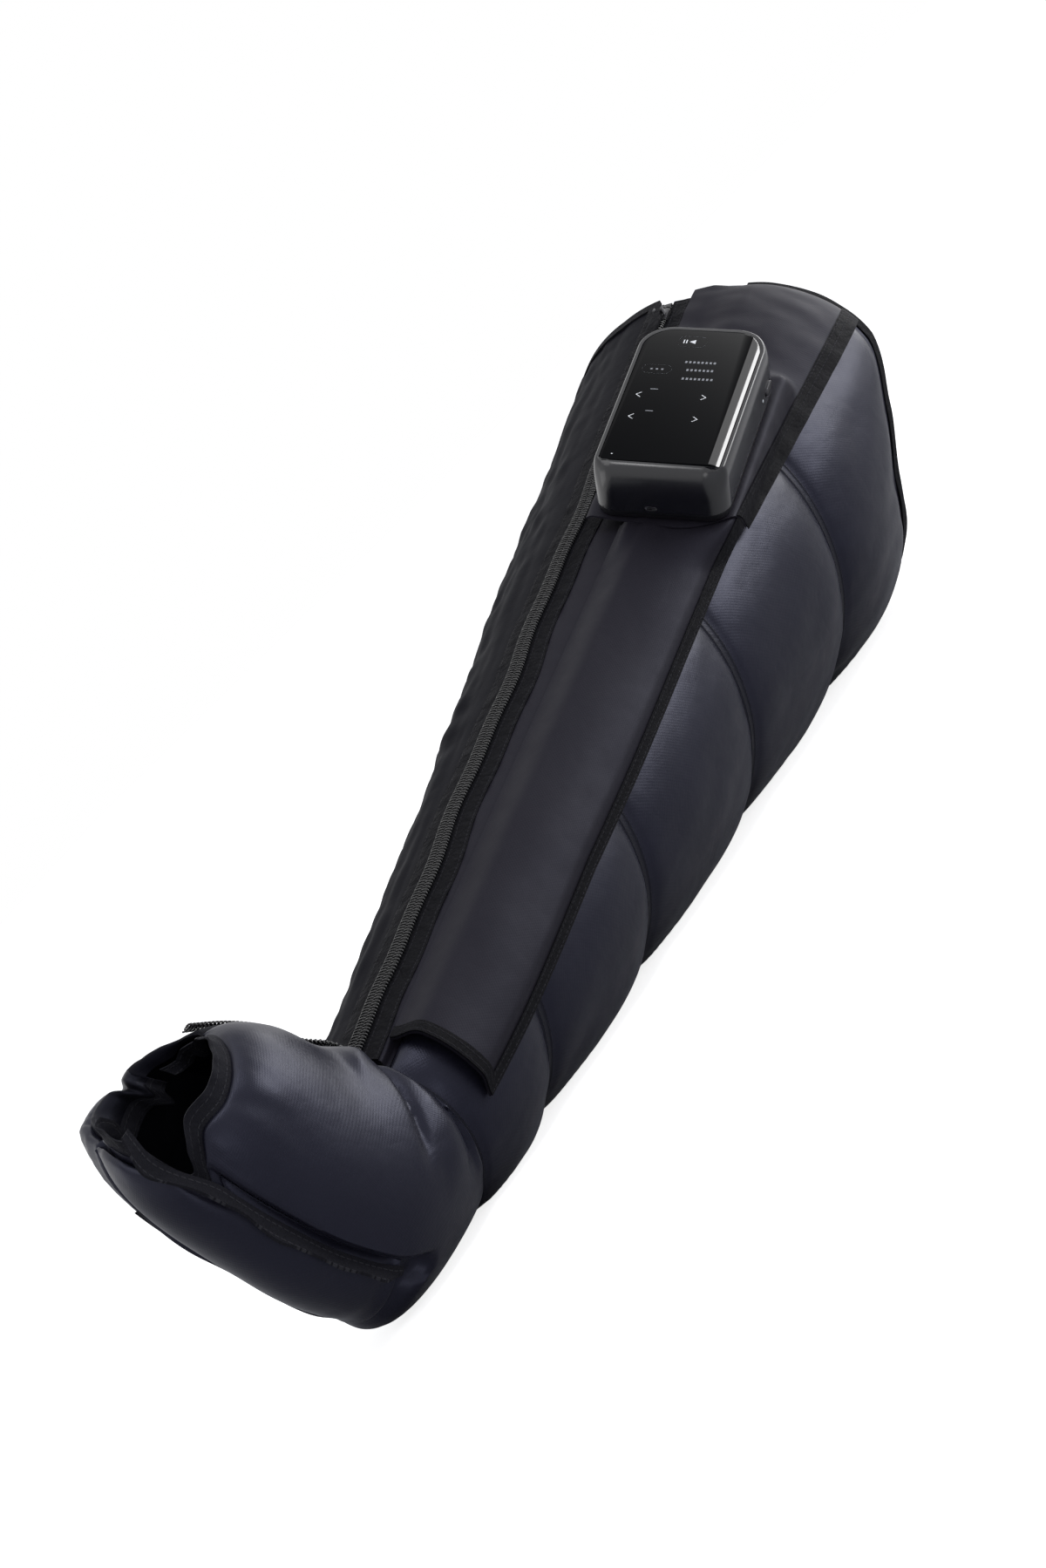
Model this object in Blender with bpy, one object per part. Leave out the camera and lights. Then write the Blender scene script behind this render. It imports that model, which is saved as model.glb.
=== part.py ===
"""An air compression boot for one leg, lying on its calf with the toes up.

Metres, +X from the sole to the thigh, +Z up through the shin, and the control unit on the -Y side.
The origin is on the flat that the knee chamber rests on. Places along the leg are measured from the heel,
and the shape is moved to the origin at the end. Angles round the leg are in degrees from the shin line,
positive towards the control unit.
"""
import math

import bmesh
import bpy
import numpy as np
from mathutils import Matrix, Vector

REST_X = 0.467  # where the origin lies along the leg

# Leg: a straight taper from ankle to thigh
ANKLE_X = 0.140
THIGH_X = 0.900
ANKLE_RADIUS = 0.0690
THIGH_RADIUS = 0.1443
SECTION_SHARE = 0.9765  # width over the mean diameter
CALF_FLATTEN = 0.004  # how far the calf would reach below the floor if it weren't pressed flat

# Air chambers
SEAM_DEPTH = 0.010
SEAM_SLANT = 0.025  # how much nearer to the thigh a seam is at the shin
ANKLE_SLANT = 0.0
WEB = 0.0014
WELD_GAP = 0.0003
ANKLE_SEAM_X = 0.106
CALF_SEAM_X = 0.231
SHIN_SEAM_X = 0.396
KNEE_SEAM_X = 0.588
THIGH_SEAM_X = 0.772
ANKLE_WALL = 0.020
THIGH_WALL = 0.030
CHAMBER_START = 46.0
CHAMBER_END = 316.0
CHAMBER_ANGLES = 24
CROWN_POWER = 2.2
END_POWER = 16.0
CROWN_SHARES = (0.0, 0.03, 0.12, 0.30, 0.50, 0.70, 0.88, 0.97, 1.0)
ROUND_SHARES = (0.0, 0.012, 0.035, 0.07)

# Thigh hem: its place along the leg at angles round it
HEM_ANGLES = (-180.0, -120.0, -60.0, 0.0, 30.0, 60.0, 88.0, 104.0, 122.0, 150.0, 180.0)
HEM_PLACES = (0.900, 0.915, 0.925, 0.928, 0.941, 0.962, 0.964, 0.925, 0.892, 0.896, 0.900)
HEM_RIBBON = 0.010
HEM_THICK = 0.0036

# Foot: instep and sole lines in the plane of symmetry, and half widths, from the ankle seam to the toe rim
INSTEP_LINE = (
    (0.106, 0.1275), (0.112, 0.140), (0.1150, 0.151), (0.1145, 0.163),
    (0.109, 0.178), (0.097, 0.194), (0.077, 0.209), (0.054, 0.219),
)
SOLE_LINE = (
    (0.106, -0.004), (0.045, -0.004), (-0.006, 0.008), (-0.038, 0.044),
    (-0.058, 0.086), (-0.071, 0.130), (-0.075, 0.178), (-0.064, 0.221),
)
FOOT_HALF_WIDTHS = (0.0645, 0.0660, 0.0665, 0.0680, 0.0700, 0.0710, 0.0690, 0.0650)
HEEL_BLEND_SHARE = 0.15
FOOT_WALL = 0.016
FOOT_SHARES = (0.0, 0.02, 0.07, 0.15, 0.24, 0.30, 0.34, 0.42, 0.52, 0.64, 0.76, 0.86, 0.93, 0.98)
FOOT_HALF_ANGLES = (34.0, 36.0, 40.0, 47.0, 58.0, 70.0, 84.0, 98.0, 112.0, 124.0, 134.0, 141.0, 146.0, 154.0, 163.0, 172.0)
SOLE_RECESS = 0.013
SOLE_START_SHARE = 0.30
SOLE_EDGE = 140.0
INSTEP_EDGE = 34.0
RIM_RIBBON = 0.012
RIM_THICK = 0.0026
FIN_WIDTH = 0.012
FIN_THICK = 0.0016

# Zip, tapes and the cloth either side of them
ZIP_ANGLE = 23.0
ZIP_TOP_X = 0.926
ZIP_LEG_END_X = 0.112
CHAIN_WIDTH = 0.0090
CHAIN_THICK = 0.0036
TAPE_WIDTH = 0.0150
CLOTH = 0.0012
LAYER_GAP = 0.0003
FRONT_LEVEL = -0.0030  # the tapes' upper face against the leg's outline
ZIP_FOOT_SHARES = (0.22, 0.34, 0.48, 0.64, 0.80, 0.93)
ZIP_FOOT_ANGLES = (30.0, 27.0, 23.0, 18.0, 12.0, 8.0)
SLIDER_LENGTH = 0.016
SLIDER_WIDTH = 0.0125
SLIDER_PLATE = 0.0016
PULL_LENGTH = 0.042
PULL_WIDTH = 0.0085
PULL_THICK = 0.0032
PIN_RADIUS = 0.0007
STOP_LENGTH = 0.004

# Cover flap over the air hoses
FLAP_BOTTOM_X = 0.130
FLAP_TOP_X = 0.630
FLAP_ROOT_ANGLE = 41.5
FLAP_EDGE_PLACES = (0.130, 0.330, 0.690)
FLAP_EDGE_ANGLES = (104.0, 93.0, 80.0)
FLAP_RISE = 0.0064
FLAP_THICK = 0.0016
RIBBON_WIDTH = 0.0090
RIBBON_THICK = 0.0010

# Control unit and what it sits on
UNIT_X = 0.726
UNIT_ANGLE = 53.6
UNIT_TWIST = 3.5
UNIT_ROLL = -7.4
UNIT_LENGTH = 0.176
UNIT_WIDTH = 0.097
UNIT_HEIGHT = 0.043
UNIT_CORNER = 0.026
NOSE_CORNER = 0.016
UNIT_WALL = 0.0024
SPLIT_HEIGHT = 0.0060
PANEL_LIFT = 0.0085
PANEL_END_ANGLE = 81.0
PANEL_START_ANGLE = 31.0
PANEL_BOTTOM_X = 0.6345
PANEL_SLANT = 0.042  # how much nearer to the thigh the panel's lower edge is at its loose side
PANEL_SLANT_POWER = 3
FLAP_END_SHARE = 0.5
PANEL_HEM_LEVEL = -0.0080
DOCK_LENGTH = 0.118
DOCK_WIDTH = 0.080
DOCK_THICK = 0.0025
BOSS_LENGTH = 0.030
BOSS_WIDTH = 0.036
BOSS_DEPTH = 0.0068

# Air hoses
HOSE_RADIUS = 0.0025
HOSE_LEVEL = 0.0034
HOSE_ANGLES = (58.0, 64.0, 70.0)
INLET_RADIUS = 0.0060
INLET_HEIGHT = 0.0050

# Small sizes
GAP = 0.0003
SEAT_GAP = 0.0005
OVERRUN = 0.004
LEG_STEP = 0.001
FIN_FOOT = -0.0045
FIN_ANGLE = 144.6
RIM_START_SHARE = 0.004
GUSSET_START = -43.7
GUSSET_STEPS = 28
GUSSET_RISE = 22.0
GUSSET_SWELL = 0.003
GUSSET_SWELL_END = 3.0
GUSSET_SHARES = (0.0, 0.08, 0.2, 0.35, 0.5, 0.65, 0.76, 0.82, 0.91, 1.0)
GUSSET_FOLD = 0.0012
FOLD_LENGTH = 0.055
FACING_FLAT_END = 37.0
EDGE_CLEARANCE = 0.3
CHAIN_BELOW_SHARE = 0.6
INSTEP_RISE = 0.0045
INSTEP_SHARES = (0.03, 0.975)
SLIDER_X = 0.905
SLIDER_CORNER_SHARE = 0.35
FLANGE_SHARE = 0.8
FLANGE_THICK = 0.0014
LUG_LENGTH = 0.0040
LUG_OUT = 0.0040
LUG_THICK = 0.0012
LUG_HALF_HEIGHT = 0.0029
PULL_CORNER_SHARE = 0.6
FLAP_RISE_SHARE = 0.28
FLAP_FALL_SHARE = 0.80
FLAP_ACROSS_SHARES = (0.0, 0.05, 0.1, 0.15, 0.2, 0.25, 0.3, 0.4, 0.5, 0.6, 0.7, 0.8, 0.85, 0.9, 0.95, 1.0)
PANEL_REST = 0.0078
PANEL_FLAT = 6.0
PANEL_SHARES = tuple(k / 26 for k in range(24)) + (0.925, 0.96, 0.985, 1.0)
PANEL_RISE_ANGLE = 14.0
PANEL_FALL = 0.024
PANEL_ANGLES = 20
DOCK_CORNER = 0.010
DOCK_SEAT = 0.0003
BOSS_ALONG = -0.028
BOSS_ACROSS = -0.020
BOSS_CORNER = 0.004
BASE_LOW = 0.0006
BASE_DRAFT = 0.0012
FRAME_HEIGHTS = (0.0, 0.0200, 0.0280, 0.0340, 0.0390, 0.0430)
FRAME_INSETS = (0.0, 0.0, 0.0002, 0.0006, 0.0014, 0.0024)
NOSE_INSETS = (0.0, 0.0, 0.0008, 0.0024, 0.0046, 0.0066)
CAVITY_CORNER = 0.034
CAVITY_TOP = 0.0385
GLASS_LENGTH = 0.1595
GLASS_WIDTH = 0.087
GLASS_CORNER = 0.022
GLASS_FOOT_CORNER = 0.004
GLASS_ALONG = 0.00225
GLASS_LOW = 0.0402
GLASS_ROUND = 0.0012
LEDGE = 0.0020
BUTTON_ALONG = 0.0545
BUTTON_LENGTH = 0.0150
BUTTON_HEIGHT = 0.0060
BUTTON_DEPTH = 0.0036
BUTTON_PROUD = 0.0014
BUTTON_GROOVE = 0.0006
BUTTON_GROOVES = 5
BUTTON_LEVEL = 0.0150
LAMP_ALONG = 0.0382
LAMP_SIZE = 0.0024
LAMP_PROUD = 0.0002
PORT_WIDTH = 0.0092
PORT_HEIGHT = 0.0034
PORT_DEPTH = 0.0070
PORT_SUNK = 0.0003
PORT_WALL = 0.0004
PORT_ACROSS = 0.006
PORT_LEVEL = 0.0095
SLOT_REACH = 0.008
SLOT_ROUND_SHARE = 0.96
BATTERY = (0.036, 0.014, 0.058, 0.040, 0.0150)
BATTERY_CORNER = 0.003
BOARD_THICK = 0.0014
PUMP = (0.036, -0.026, 0.040, 0.0110)
PUMP_HEAD = 0.005
VALVES = (-0.030, -0.018, 0.024, 0.044, 0.0080)
VALVE_COUNT = 5
VALVE_RADIUS = 0.0035
VALVE_RISE = 0.010
SCREW_INSET = 0.0095
SCREW_HEAD_RADIUS = 0.0028
SCREW_HEAD = 0.0020
SCREW_RADIUS = 0.0013
SCREW_TOP = 0.0150
HOSE_ACROSS = (-0.0110, -0.0200, -0.0290)
HOSE_LEAD = 0.005
HOSE_SINK = 0.0043
HOSE_RUN_START = 0.004
HOSE_POINTS = 25
INLET_TOP_RADIUS = 0.0045
THIGH_LOWER_INLET_X = 0.748
THIGH_UPPER_INLET_X = 0.846


def clear_scene():
    """Take every object out of the scene."""
    for old in list(bpy.data.objects):
        bpy.data.objects.remove(old)


def place_origin():
    """Hang every object on an empty, which moves the model so that the origin is on the rest face."""
    root = bpy.data.objects.new("rest_origin", None)
    bpy.context.scene.collection.objects.link(root)
    root.location = (-REST_X, 0.0, 0.0)
    for made in bpy.data.objects:
        if made != root:
            made.parent = root


def finish(name, colour, roughness, metallic=0.0):
    """A plain material for one sub-part."""
    made = bpy.data.materials.new(name + "_finish")
    made.use_nodes = True
    shader = made.node_tree.nodes["Principled BSDF"]
    shader.inputs["Base Color"].default_value = (*colour, 1.0)
    shader.inputs["Roughness"].default_value = roughness
    shader.inputs["Metallic"].default_value = metallic
    return made


FINISHES = {
    "nylon": ((0.020, 0.020, 0.028), 0.45, 0.0),
    "flap": ((0.028, 0.026, 0.034), 0.60, 0.0),
    "ribbon": ((0.010, 0.010, 0.012), 0.80, 0.0),
    "coil": ((0.050, 0.050, 0.055), 0.40, 0.0),
    "metal": ((0.180, 0.180, 0.200), 0.35, 1.0),
    "shell": ((0.060, 0.064, 0.080), 0.30, 0.6),
    "glass": ((0.006, 0.007, 0.009), 0.05, 0.0),
    "plastic": ((0.015, 0.015, 0.018), 0.50, 0.0),
    "rubber": ((0.200, 0.200, 0.200), 0.70, 0.0),
    "board": ((0.020, 0.140, 0.060), 0.55, 0.0),
    "lamp": ((0.700, 0.750, 0.800), 0.20, 0.0),
}


def add_object(name, bm, look, matrix=None):
    """Turn a bmesh into a named object with its own material."""
    bmesh.ops.recalc_face_normals(bm, faces=bm.faces)
    mesh = bpy.data.meshes.new(name)
    bm.to_mesh(mesh)
    bm.free()
    made = bpy.data.objects.new(name, mesh)
    bpy.context.scene.collection.objects.link(made)
    if matrix is not None:
        made.matrix_world = matrix
    colour, roughness, metallic = FINISHES[look]
    mesh.materials.append(finish(name, colour, roughness, metallic))
    return made


def smooth(made, angle=math.radians(40.0)):
    """Shade a round piece smooth, with its real edges kept sharp."""
    made.data.shade_smooth()
    made.data.set_sharp_from_angle(angle=angle)
    return made


def along(places, values, place):
    """A smooth curve through a few values."""
    places = list(places)
    k = min(max(sum(p <= place for p in places) - 1, 0), len(places) - 2)
    t = (place - places[k]) / (places[k + 1] - places[k])
    t = min(max(t, 0.0), 1.0)
    a = values[max(k - 1, 0)]
    b = values[k]
    c = values[k + 1]
    d = values[min(k + 2, len(values) - 1)]
    return b + t * (c - a) / 2 + t * t * (a - 2.5 * b + 2 * c - d / 2) + t ** 3 * (1.5 * (b - c) + (d - a) / 2)


def leg_radius(x):
    """Mean radius of the leg's outline at a place along it."""
    share = (x - ANKLE_X) / (THIGH_X - ANKLE_X)
    return ANKLE_RADIUS + (THIGH_RADIUS - ANKLE_RADIUS) * share


def leg_point(x, angle, off=0.0):
    """A point on the leg's outline, or off it along its radius."""
    turn = math.radians(angle)
    half_width = leg_radius(x) * SECTION_SHARE
    half_height = leg_radius(x) / SECTION_SHARE
    y = -(half_width + off) * math.sin(turn)
    z = half_height + (half_height + off) * math.cos(turn) - CALF_FLATTEN
    return Vector((x, y, z))


def foot_point(share, angle, off=0.0):
    """A point on the foot's outline, from the ankle seam (share 0) to the toe rim (share 1)."""
    stations = [k / (len(SOLE_LINE) - 1) for k in range(len(SOLE_LINE))]
    top = Vector([along(stations, [p[axis] for p in INSTEP_LINE], share) for axis in (0, 1)])
    sole = Vector([along(stations, [p[axis] for p in SOLE_LINE], share) for axis in (0, 1)])
    half_width = along(stations, FOOT_HALF_WIDTHS, share)
    middle = (top + sole) / 2
    rise = top - middle
    half_depth = rise.length
    rise = rise / half_depth
    turn = math.radians(angle)
    up = rise * ((half_depth + off) * math.cos(turn))
    point = Vector((middle.x + up.x, -(half_width + off) * math.sin(turn), middle.y + up.y))
    seam = leg_point(seam_place(ANKLE_SEAM_X, angle) - WELD_GAP / 2, angle, off)
    return seam.lerp(point, min(share / HEEL_BLEND_SHARE, 1.0))


def crown(share, power=CROWN_POWER):
    """Height of a pillow across itself: 0 at its edges and 1 in the middle."""
    return math.sqrt(max(0.0, 1.0 - abs(2 * share - 1) ** power))


def spread(start, end, count):
    """Evenly spaced values, both ends included."""
    return [start + (end - start) * k / (count - 1) for k in range(count)]


def rounded_spread(start, end, count):
    """Values that lie closer together near both ends, where a pillow rounds off."""
    inner = spread(ROUND_SHARES[-1], 1 - ROUND_SHARES[-1], count)
    shares = list(ROUND_SHARES[:-1]) + inner + [1 - s for s in reversed(ROUND_SHARES[:-1])]
    return [start + (end - start) * s for s in shares]


def slab(name, look, us, vs, place, frame=None):
    """A closed solid over a grid: place(u, v, side) gives its lower face (side 0) and upper face (side 1)."""
    bm = bmesh.new()
    back = Matrix() if frame is None else frame.inverted()
    bmesh.ops.create_grid(bm, x_segments=len(us) - 1, y_segments=len(vs) - 1, size=0.5)
    grown = bmesh.ops.extrude_face_region(bm, geom=bm.faces[:], use_keep_orig=True)
    top = {e for e in grown["geom"] if isinstance(e, bmesh.types.BMVert)}
    for vert in bm.verts:
        i = round((vert.co.x + 0.5) * (len(us) - 1))
        j = round((vert.co.y + 0.5) * (len(vs) - 1))
        vert.co = back @ place(us[i], vs[j], 1 if vert in top else 0)
    return add_object(name, bm, look, frame)


def above_floor(point):
    """Press a point up to the floor."""
    return Vector((point.x, point.y, max(point.z, 0.0)))


def seam_place(x, angle):
    """Where a welded seam crosses an angle round the leg."""
    slant = ANKLE_SLANT if x == ANKLE_SEAM_X else SEAM_SLANT
    return x + slant * math.cos(math.radians(angle))


def hem_place(angle):
    """Where the thigh hem lies at an angle round the leg."""
    turned = angle - 360 if angle > 180 else angle
    return along(HEM_ANGLES, HEM_PLACES, turned)


def chamber_wall(x):
    """Thickness of an inflated chamber at a place along the leg."""
    share = (x - ANKLE_SEAM_X) / (THIGH_X - ANKLE_SEAM_X)
    return ANKLE_WALL + (THIGH_WALL - ANKLE_WALL) * share


def make_leg_chamber(name, start, end):
    """One inflated chamber: a crowned C round the leg, pinched to its welds on all four sides."""
    angles = rounded_spread(CHAMBER_START, CHAMBER_END, CHAMBER_ANGLES)

    def place(share, angle, side):
        first = start(angle) + WELD_GAP / 2
        last = end(angle) - WELD_GAP / 2
        x = first + (last - first) * share
        round_share = (angle - CHAMBER_START) / (CHAMBER_END - CHAMBER_START)
        swell = crown(share) * crown(round_share, END_POWER)
        if side:
            off = -SEAM_DEPTH + SEAM_DEPTH * swell
        else:
            off = -SEAM_DEPTH - WEB - (chamber_wall(x) - SEAM_DEPTH - WEB) * swell
        return above_floor(leg_point(x, angle, off))

    return smooth(slab(name, "nylon", CROWN_SHARES, angles, place))


def make_leg_chambers():
    """The five chambers up the leg, from the ankle seam to the thigh hem."""
    seams = (ANKLE_SEAM_X, CALF_SEAM_X, SHIN_SEAM_X, KNEE_SEAM_X, THIGH_SEAM_X)
    names = ("calf_chamber_lower", "calf_chamber_upper", "knee_chamber", "thigh_chamber_lower")
    for name, low, high in zip(names, seams[:-1], seams[1:]):
        make_leg_chamber(name, lambda a, x=low: seam_place(x, a), lambda a, x=high: seam_place(x, a))
    top = lambda a: hem_place(a) - HEM_RIBBON / 2
    make_leg_chamber("thigh_chamber_upper", lambda a: seam_place(THIGH_SEAM_X, a), top)


def foot_angles():
    """Angles round the foot from one side of the instep to the other."""
    far = [360.0 - a for a in reversed(FOOT_HALF_ANGLES)]
    return list(FOOT_HALF_ANGLES) + [180.0] + far


def in_sole(share, angle):
    """Whether a place on the foot lies on the sole's panel."""
    return share >= SOLE_START_SHARE and abs(angle - 180.0) <= 180.0 - SOLE_EDGE


def foot_outer(share, angle):
    """Level of the foot chamber's outer face, with the recess that the sole pad fills."""
    shares = FOOT_SHARES
    round_share = (angle - INSTEP_EDGE) / (360.0 - 2 * INSTEP_EDGE)
    swell = crown(share / shares[-1]) * crown(round_share, END_POWER)
    recess = SOLE_RECESS if in_sole(share, angle) else 0.0
    return -SEAM_DEPTH + SEAM_DEPTH * swell - recess * swell


def make_foot_chamber():
    """The chamber round heel, sides and instep."""

    def place(share, angle, side):
        if side:
            off = foot_outer(share, angle)
        else:
            round_share = (angle - INSTEP_EDGE) / (360.0 - 2 * INSTEP_EDGE)
            swell = crown(share / FOOT_SHARES[-1]) * crown(round_share, END_POWER)
            off = -SEAM_DEPTH - WEB - (FOOT_WALL - SEAM_DEPTH - WEB) * swell
        return above_floor(foot_point(share, angle, off))

    return smooth(slab("foot_chamber", "nylon", FOOT_SHARES, foot_angles(), place))


def make_sole_pad():
    """The crowned pad under the foot, seated in the foot chamber's recess."""
    shares = [s for s in FOOT_SHARES if s > SOLE_START_SHARE and s < FOOT_SHARES[-1]]
    angles = [a for a in foot_angles() if in_sole(1.0, a)]

    def place(share, angle, side):
        seat = foot_outer(share, angle) + SEAT_GAP
        if not side:
            return above_floor(foot_point(share, angle, seat))
        along_share = (share - shares[0]) / (shares[-1] - shares[0])
        across_share = (angle - angles[0]) / (angles[-1] - angles[0])
        swell = crown(along_share) * crown(across_share)
        return foot_point(share, angle, seat + WEB + (SOLE_RECESS - WEB) * swell)

    return smooth(slab("sole_pad", "nylon", shares, angles, place))


def make_sole_ribbon(name, angle, turn):
    """A bound seam that stands up like a fin along one edge of the sole pad."""
    shares = [s for s in FOOT_SHARES if s >= SOLE_START_SHARE]
    levels = (FIN_FOOT, 0.0, FIN_FOOT + FIN_WIDTH)
    half = math.degrees(FIN_THICK / ANKLE_RADIUS) / 2

    def place(share, level, side):
        sweep = turn * (half if side else -half)
        return foot_point(share, angle + sweep, level)

    return slab(name, "ribbon", shares, levels, place)


def make_toe_rim():
    """The stitched ribbon round the open toe."""
    angles = [a for a in foot_angles()]

    def place(share, angle, side):
        off = -SEAM_DEPTH - WEB if not side else -SEAM_DEPTH - WEB + RIM_THICK
        return foot_point(share, angle, off)

    rim_share = RIM_RIBBON / foot_length()
    return slab("toe_rim_ribbon", "ribbon", (FOOT_SHARES[-1] + RIM_START_SHARE, 1.0 + rim_share / 2), angles, place)


def foot_length():
    """Length of the foot along its middle."""
    middles = [(Vector(a) + Vector(b)) / 2 for a, b in zip(INSTEP_LINE, SOLE_LINE)]
    return sum((b - a).length for a, b in zip(middles[:-1], middles[1:]))


def zip_offset(x, across):
    """Angle round the leg at a distance across from the zip's middle."""
    return ZIP_ANGLE + math.degrees(across / leg_radius(x))


def leg_strip(name, look, xs, edges, levels, count=3):
    """A thin strip along the leg between two edges given across from the zip's middle."""
    shares = spread(0.0, 1.0, count)

    def place(x, share, side):
        across = edges[0] + (edges[1] - edges[0]) * share
        return leg_point(x, zip_offset(x, across), levels[side])

    return slab(name, look, xs, shares, place)


def front_level(angle):
    """Level of the upper face of the cloth either side of the zip."""
    flat = FRONT_LEVEL - CLOTH - LAYER_GAP
    edge = -SEAM_DEPTH
    if angle < ZIP_ANGLE:
        rise = min(max((angle - GUSSET_START) / GUSSET_RISE, 0.0), 1.0)
        swell = math.sin(math.pi * min(max((angle - GUSSET_START) / (GUSSET_SWELL_END - GUSSET_START), 0.0), 1.0))
        return edge + (flat - edge) * rise + GUSSET_SWELL * swell
    fall = min(max((angle - FACING_FLAT_END) / (CHAMBER_START - FACING_FLAT_END), 0.0), 1.0)
    return flat + (edge - flat) * fall


def make_gusset():
    """The unpadded cloth between the zip and the far edge of the chambers, with its folds."""
    xs = spread(ZIP_LEG_END_X, ZIP_TOP_X, GUSSET_STEPS)

    def place(x, share, side):
        end = zip_offset(x, -CHAIN_WIDTH / 2 - TAPE_WIDTH / 2)
        angle = GUSSET_START + (end - GUSSET_START) * share
        inner = min(share / GUSSET_SHARES[-3], 1.0)
        fold = GUSSET_FOLD * math.sin(2 * math.pi * (x / FOLD_LENGTH + share)) * math.sin(math.pi * inner) ** 2
        level = front_level(angle) + fold
        return leg_point(x, angle, level if side else level - CLOTH)

    smooth(slab("front_gusset", "nylon", xs, GUSSET_SHARES, place))

    def hem(x, share, side):
        end = zip_offset(ZIP_TOP_X, -CHAIN_WIDTH / 2 - TAPE_WIDTH / 2)
        angle = GUSSET_START + (end - GUSSET_START) * share
        middle = front_level(angle) - CLOTH / 2
        return leg_point(x, angle, middle + (HEM_THICK / 2 if side else -HEM_THICK / 2))

    slab("gusset_hem_ribbon", "ribbon", (ZIP_TOP_X + GAP, ZIP_TOP_X + HEM_RIBBON), GUSSET_SHARES, hem)


def make_facing():
    """The rough strip of cloth between the zip and the chambers on the unit's side."""
    xs = spread(ZIP_LEG_END_X, ZIP_TOP_X, 12)
    shares = (0.0, 0.3, 0.5, 0.65, 0.75, 0.85, 0.93, 1.0)

    def place(x, share, side):
        start = zip_offset(x, CHAIN_WIDTH / 2 + TAPE_WIDTH / 2)
        end = CHAMBER_START - EDGE_CLEARANCE
        angle = start + (end - start) * share
        level = front_level(angle)
        return leg_point(x, angle, level if side else level - CLOTH)

    return slab("zip_facing", "ribbon", xs, shares, place)


def make_zip():
    """Tapes, coil chain, end stops, slider and pull."""
    xs = spread(ZIP_LEG_END_X, ZIP_TOP_X, 8)
    inner = CHAIN_WIDTH / 2 + LAYER_GAP
    tape_levels = (FRONT_LEVEL - CLOTH, FRONT_LEVEL)
    chain_levels = (FRONT_LEVEL - CHAIN_THICK * CHAIN_BELOW_SHARE, FRONT_LEVEL + CHAIN_THICK * (1 - CHAIN_BELOW_SHARE))
    leg_strip("zip_tape_far", "ribbon", xs, (-inner - TAPE_WIDTH, -inner), tape_levels)
    leg_strip("zip_tape_near", "ribbon", xs, (inner, inner + TAPE_WIDTH), tape_levels)
    chain_xs = spread(ZIP_LEG_END_X, ZIP_TOP_X - 2 * STOP_LENGTH, 8)
    leg_strip("zip_chain", "coil", chain_xs, (-CHAIN_WIDTH / 2, CHAIN_WIDTH / 2), chain_levels, 5)
    top = (ZIP_TOP_X - 2 * STOP_LENGTH + GAP, ZIP_TOP_X - STOP_LENGTH)
    leg_strip("zip_top_stop", "metal", top, (-CHAIN_WIDTH / 2, CHAIN_WIDTH / 2), chain_levels)


def instep_level(angle):
    """Level of the upper face of the cloth over the instep."""
    share = abs(angle) / INSTEP_EDGE
    return -SEAM_DEPTH + INSTEP_RISE * (1 - share ** 4)


def make_instep():
    """The cloth over the instep, and the zip that runs on over it to the toe."""
    half_angles = (33.6, 30.0, 24.0, 16.0, 8.0)
    angles = [-a for a in half_angles] + [0.0] + list(reversed(half_angles))
    shares = spread(INSTEP_SHARES[0], INSTEP_SHARES[1], 12)

    def cloth(share, angle, side):
        level = instep_level(angle)
        return foot_point(share, angle, level if side else level - CLOTH)

    smooth(slab("instep_cloth", "nylon", shares, angles, cloth))

    def chain(share, across, side):
        middle = along(ZIP_FOOT_SHARES, ZIP_FOOT_ANGLES, share)
        angle = middle + math.degrees(across / FOOT_HALF_WIDTHS[0])
        level = instep_level(0.0) + LAYER_GAP + (CHAIN_THICK if side else 0.0)
        return foot_point(share, angle, level)

    chain_shares = spread(ZIP_FOOT_SHARES[0], ZIP_FOOT_SHARES[-1], 12)
    across = spread(-CHAIN_WIDTH / 2, CHAIN_WIDTH / 2, 3)
    slab("instep_zip_chain", "coil", chain_shares, across, chain)


def make_slider():
    """The slider that straddles the chain, with its pull on a pin across the slider."""
    frame = surface_frame(SLIDER_X, ZIP_ANGLE, FRONT_LEVEL + CHAIN_THICK * (1 - CHAIN_BELOW_SHARE) + GAP)
    half = SLIDER_WIDTH / 2
    plate = rounded_outline(SLIDER_LENGTH, SLIDER_WIDTH, SLIDER_WIDTH * SLIDER_CORNER_SHARE, 5)
    bm = bmesh.new()
    add_stack(bm, [(0.0, plate), (SLIDER_PLATE, plate)])
    body = add_object("zip_slider", bm, "metal", frame)
    side_drop = CHAIN_THICK * (1 - CHAIN_BELOW_SHARE)
    for sign in (-1, 1):
        flange = box_mesh(
            (-SLIDER_LENGTH * FLANGE_SHARE / 2, SLIDER_LENGTH * FLANGE_SHARE / 2),
            sorted((sign * half, sign * (half - FLANGE_THICK))),
            (-side_drop, SLIDER_PLATE / 2),
        )
        join(body, flange, frame)
    for sign in (-1, 1):
        lug = box_mesh(
            (-LUG_LENGTH / 2, LUG_LENGTH / 2),
            sorted((sign * LUG_OUT, sign * (LUG_OUT - LUG_THICK))),
            (SLIDER_PLATE / 2, SLIDER_PLATE + 2 * LUG_HALF_HEIGHT),
        )
        join(body, lug, frame)
    axis_height = SLIDER_PLATE + LUG_HALF_HEIGHT
    join(body, pin_mesh(PIN_RADIUS, 2 * LUG_OUT - LUG_THICK), frame @ Matrix.Translation((0, 0, axis_height)))
    make_pull(frame @ Matrix.Translation((0, 0, axis_height)))


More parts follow.
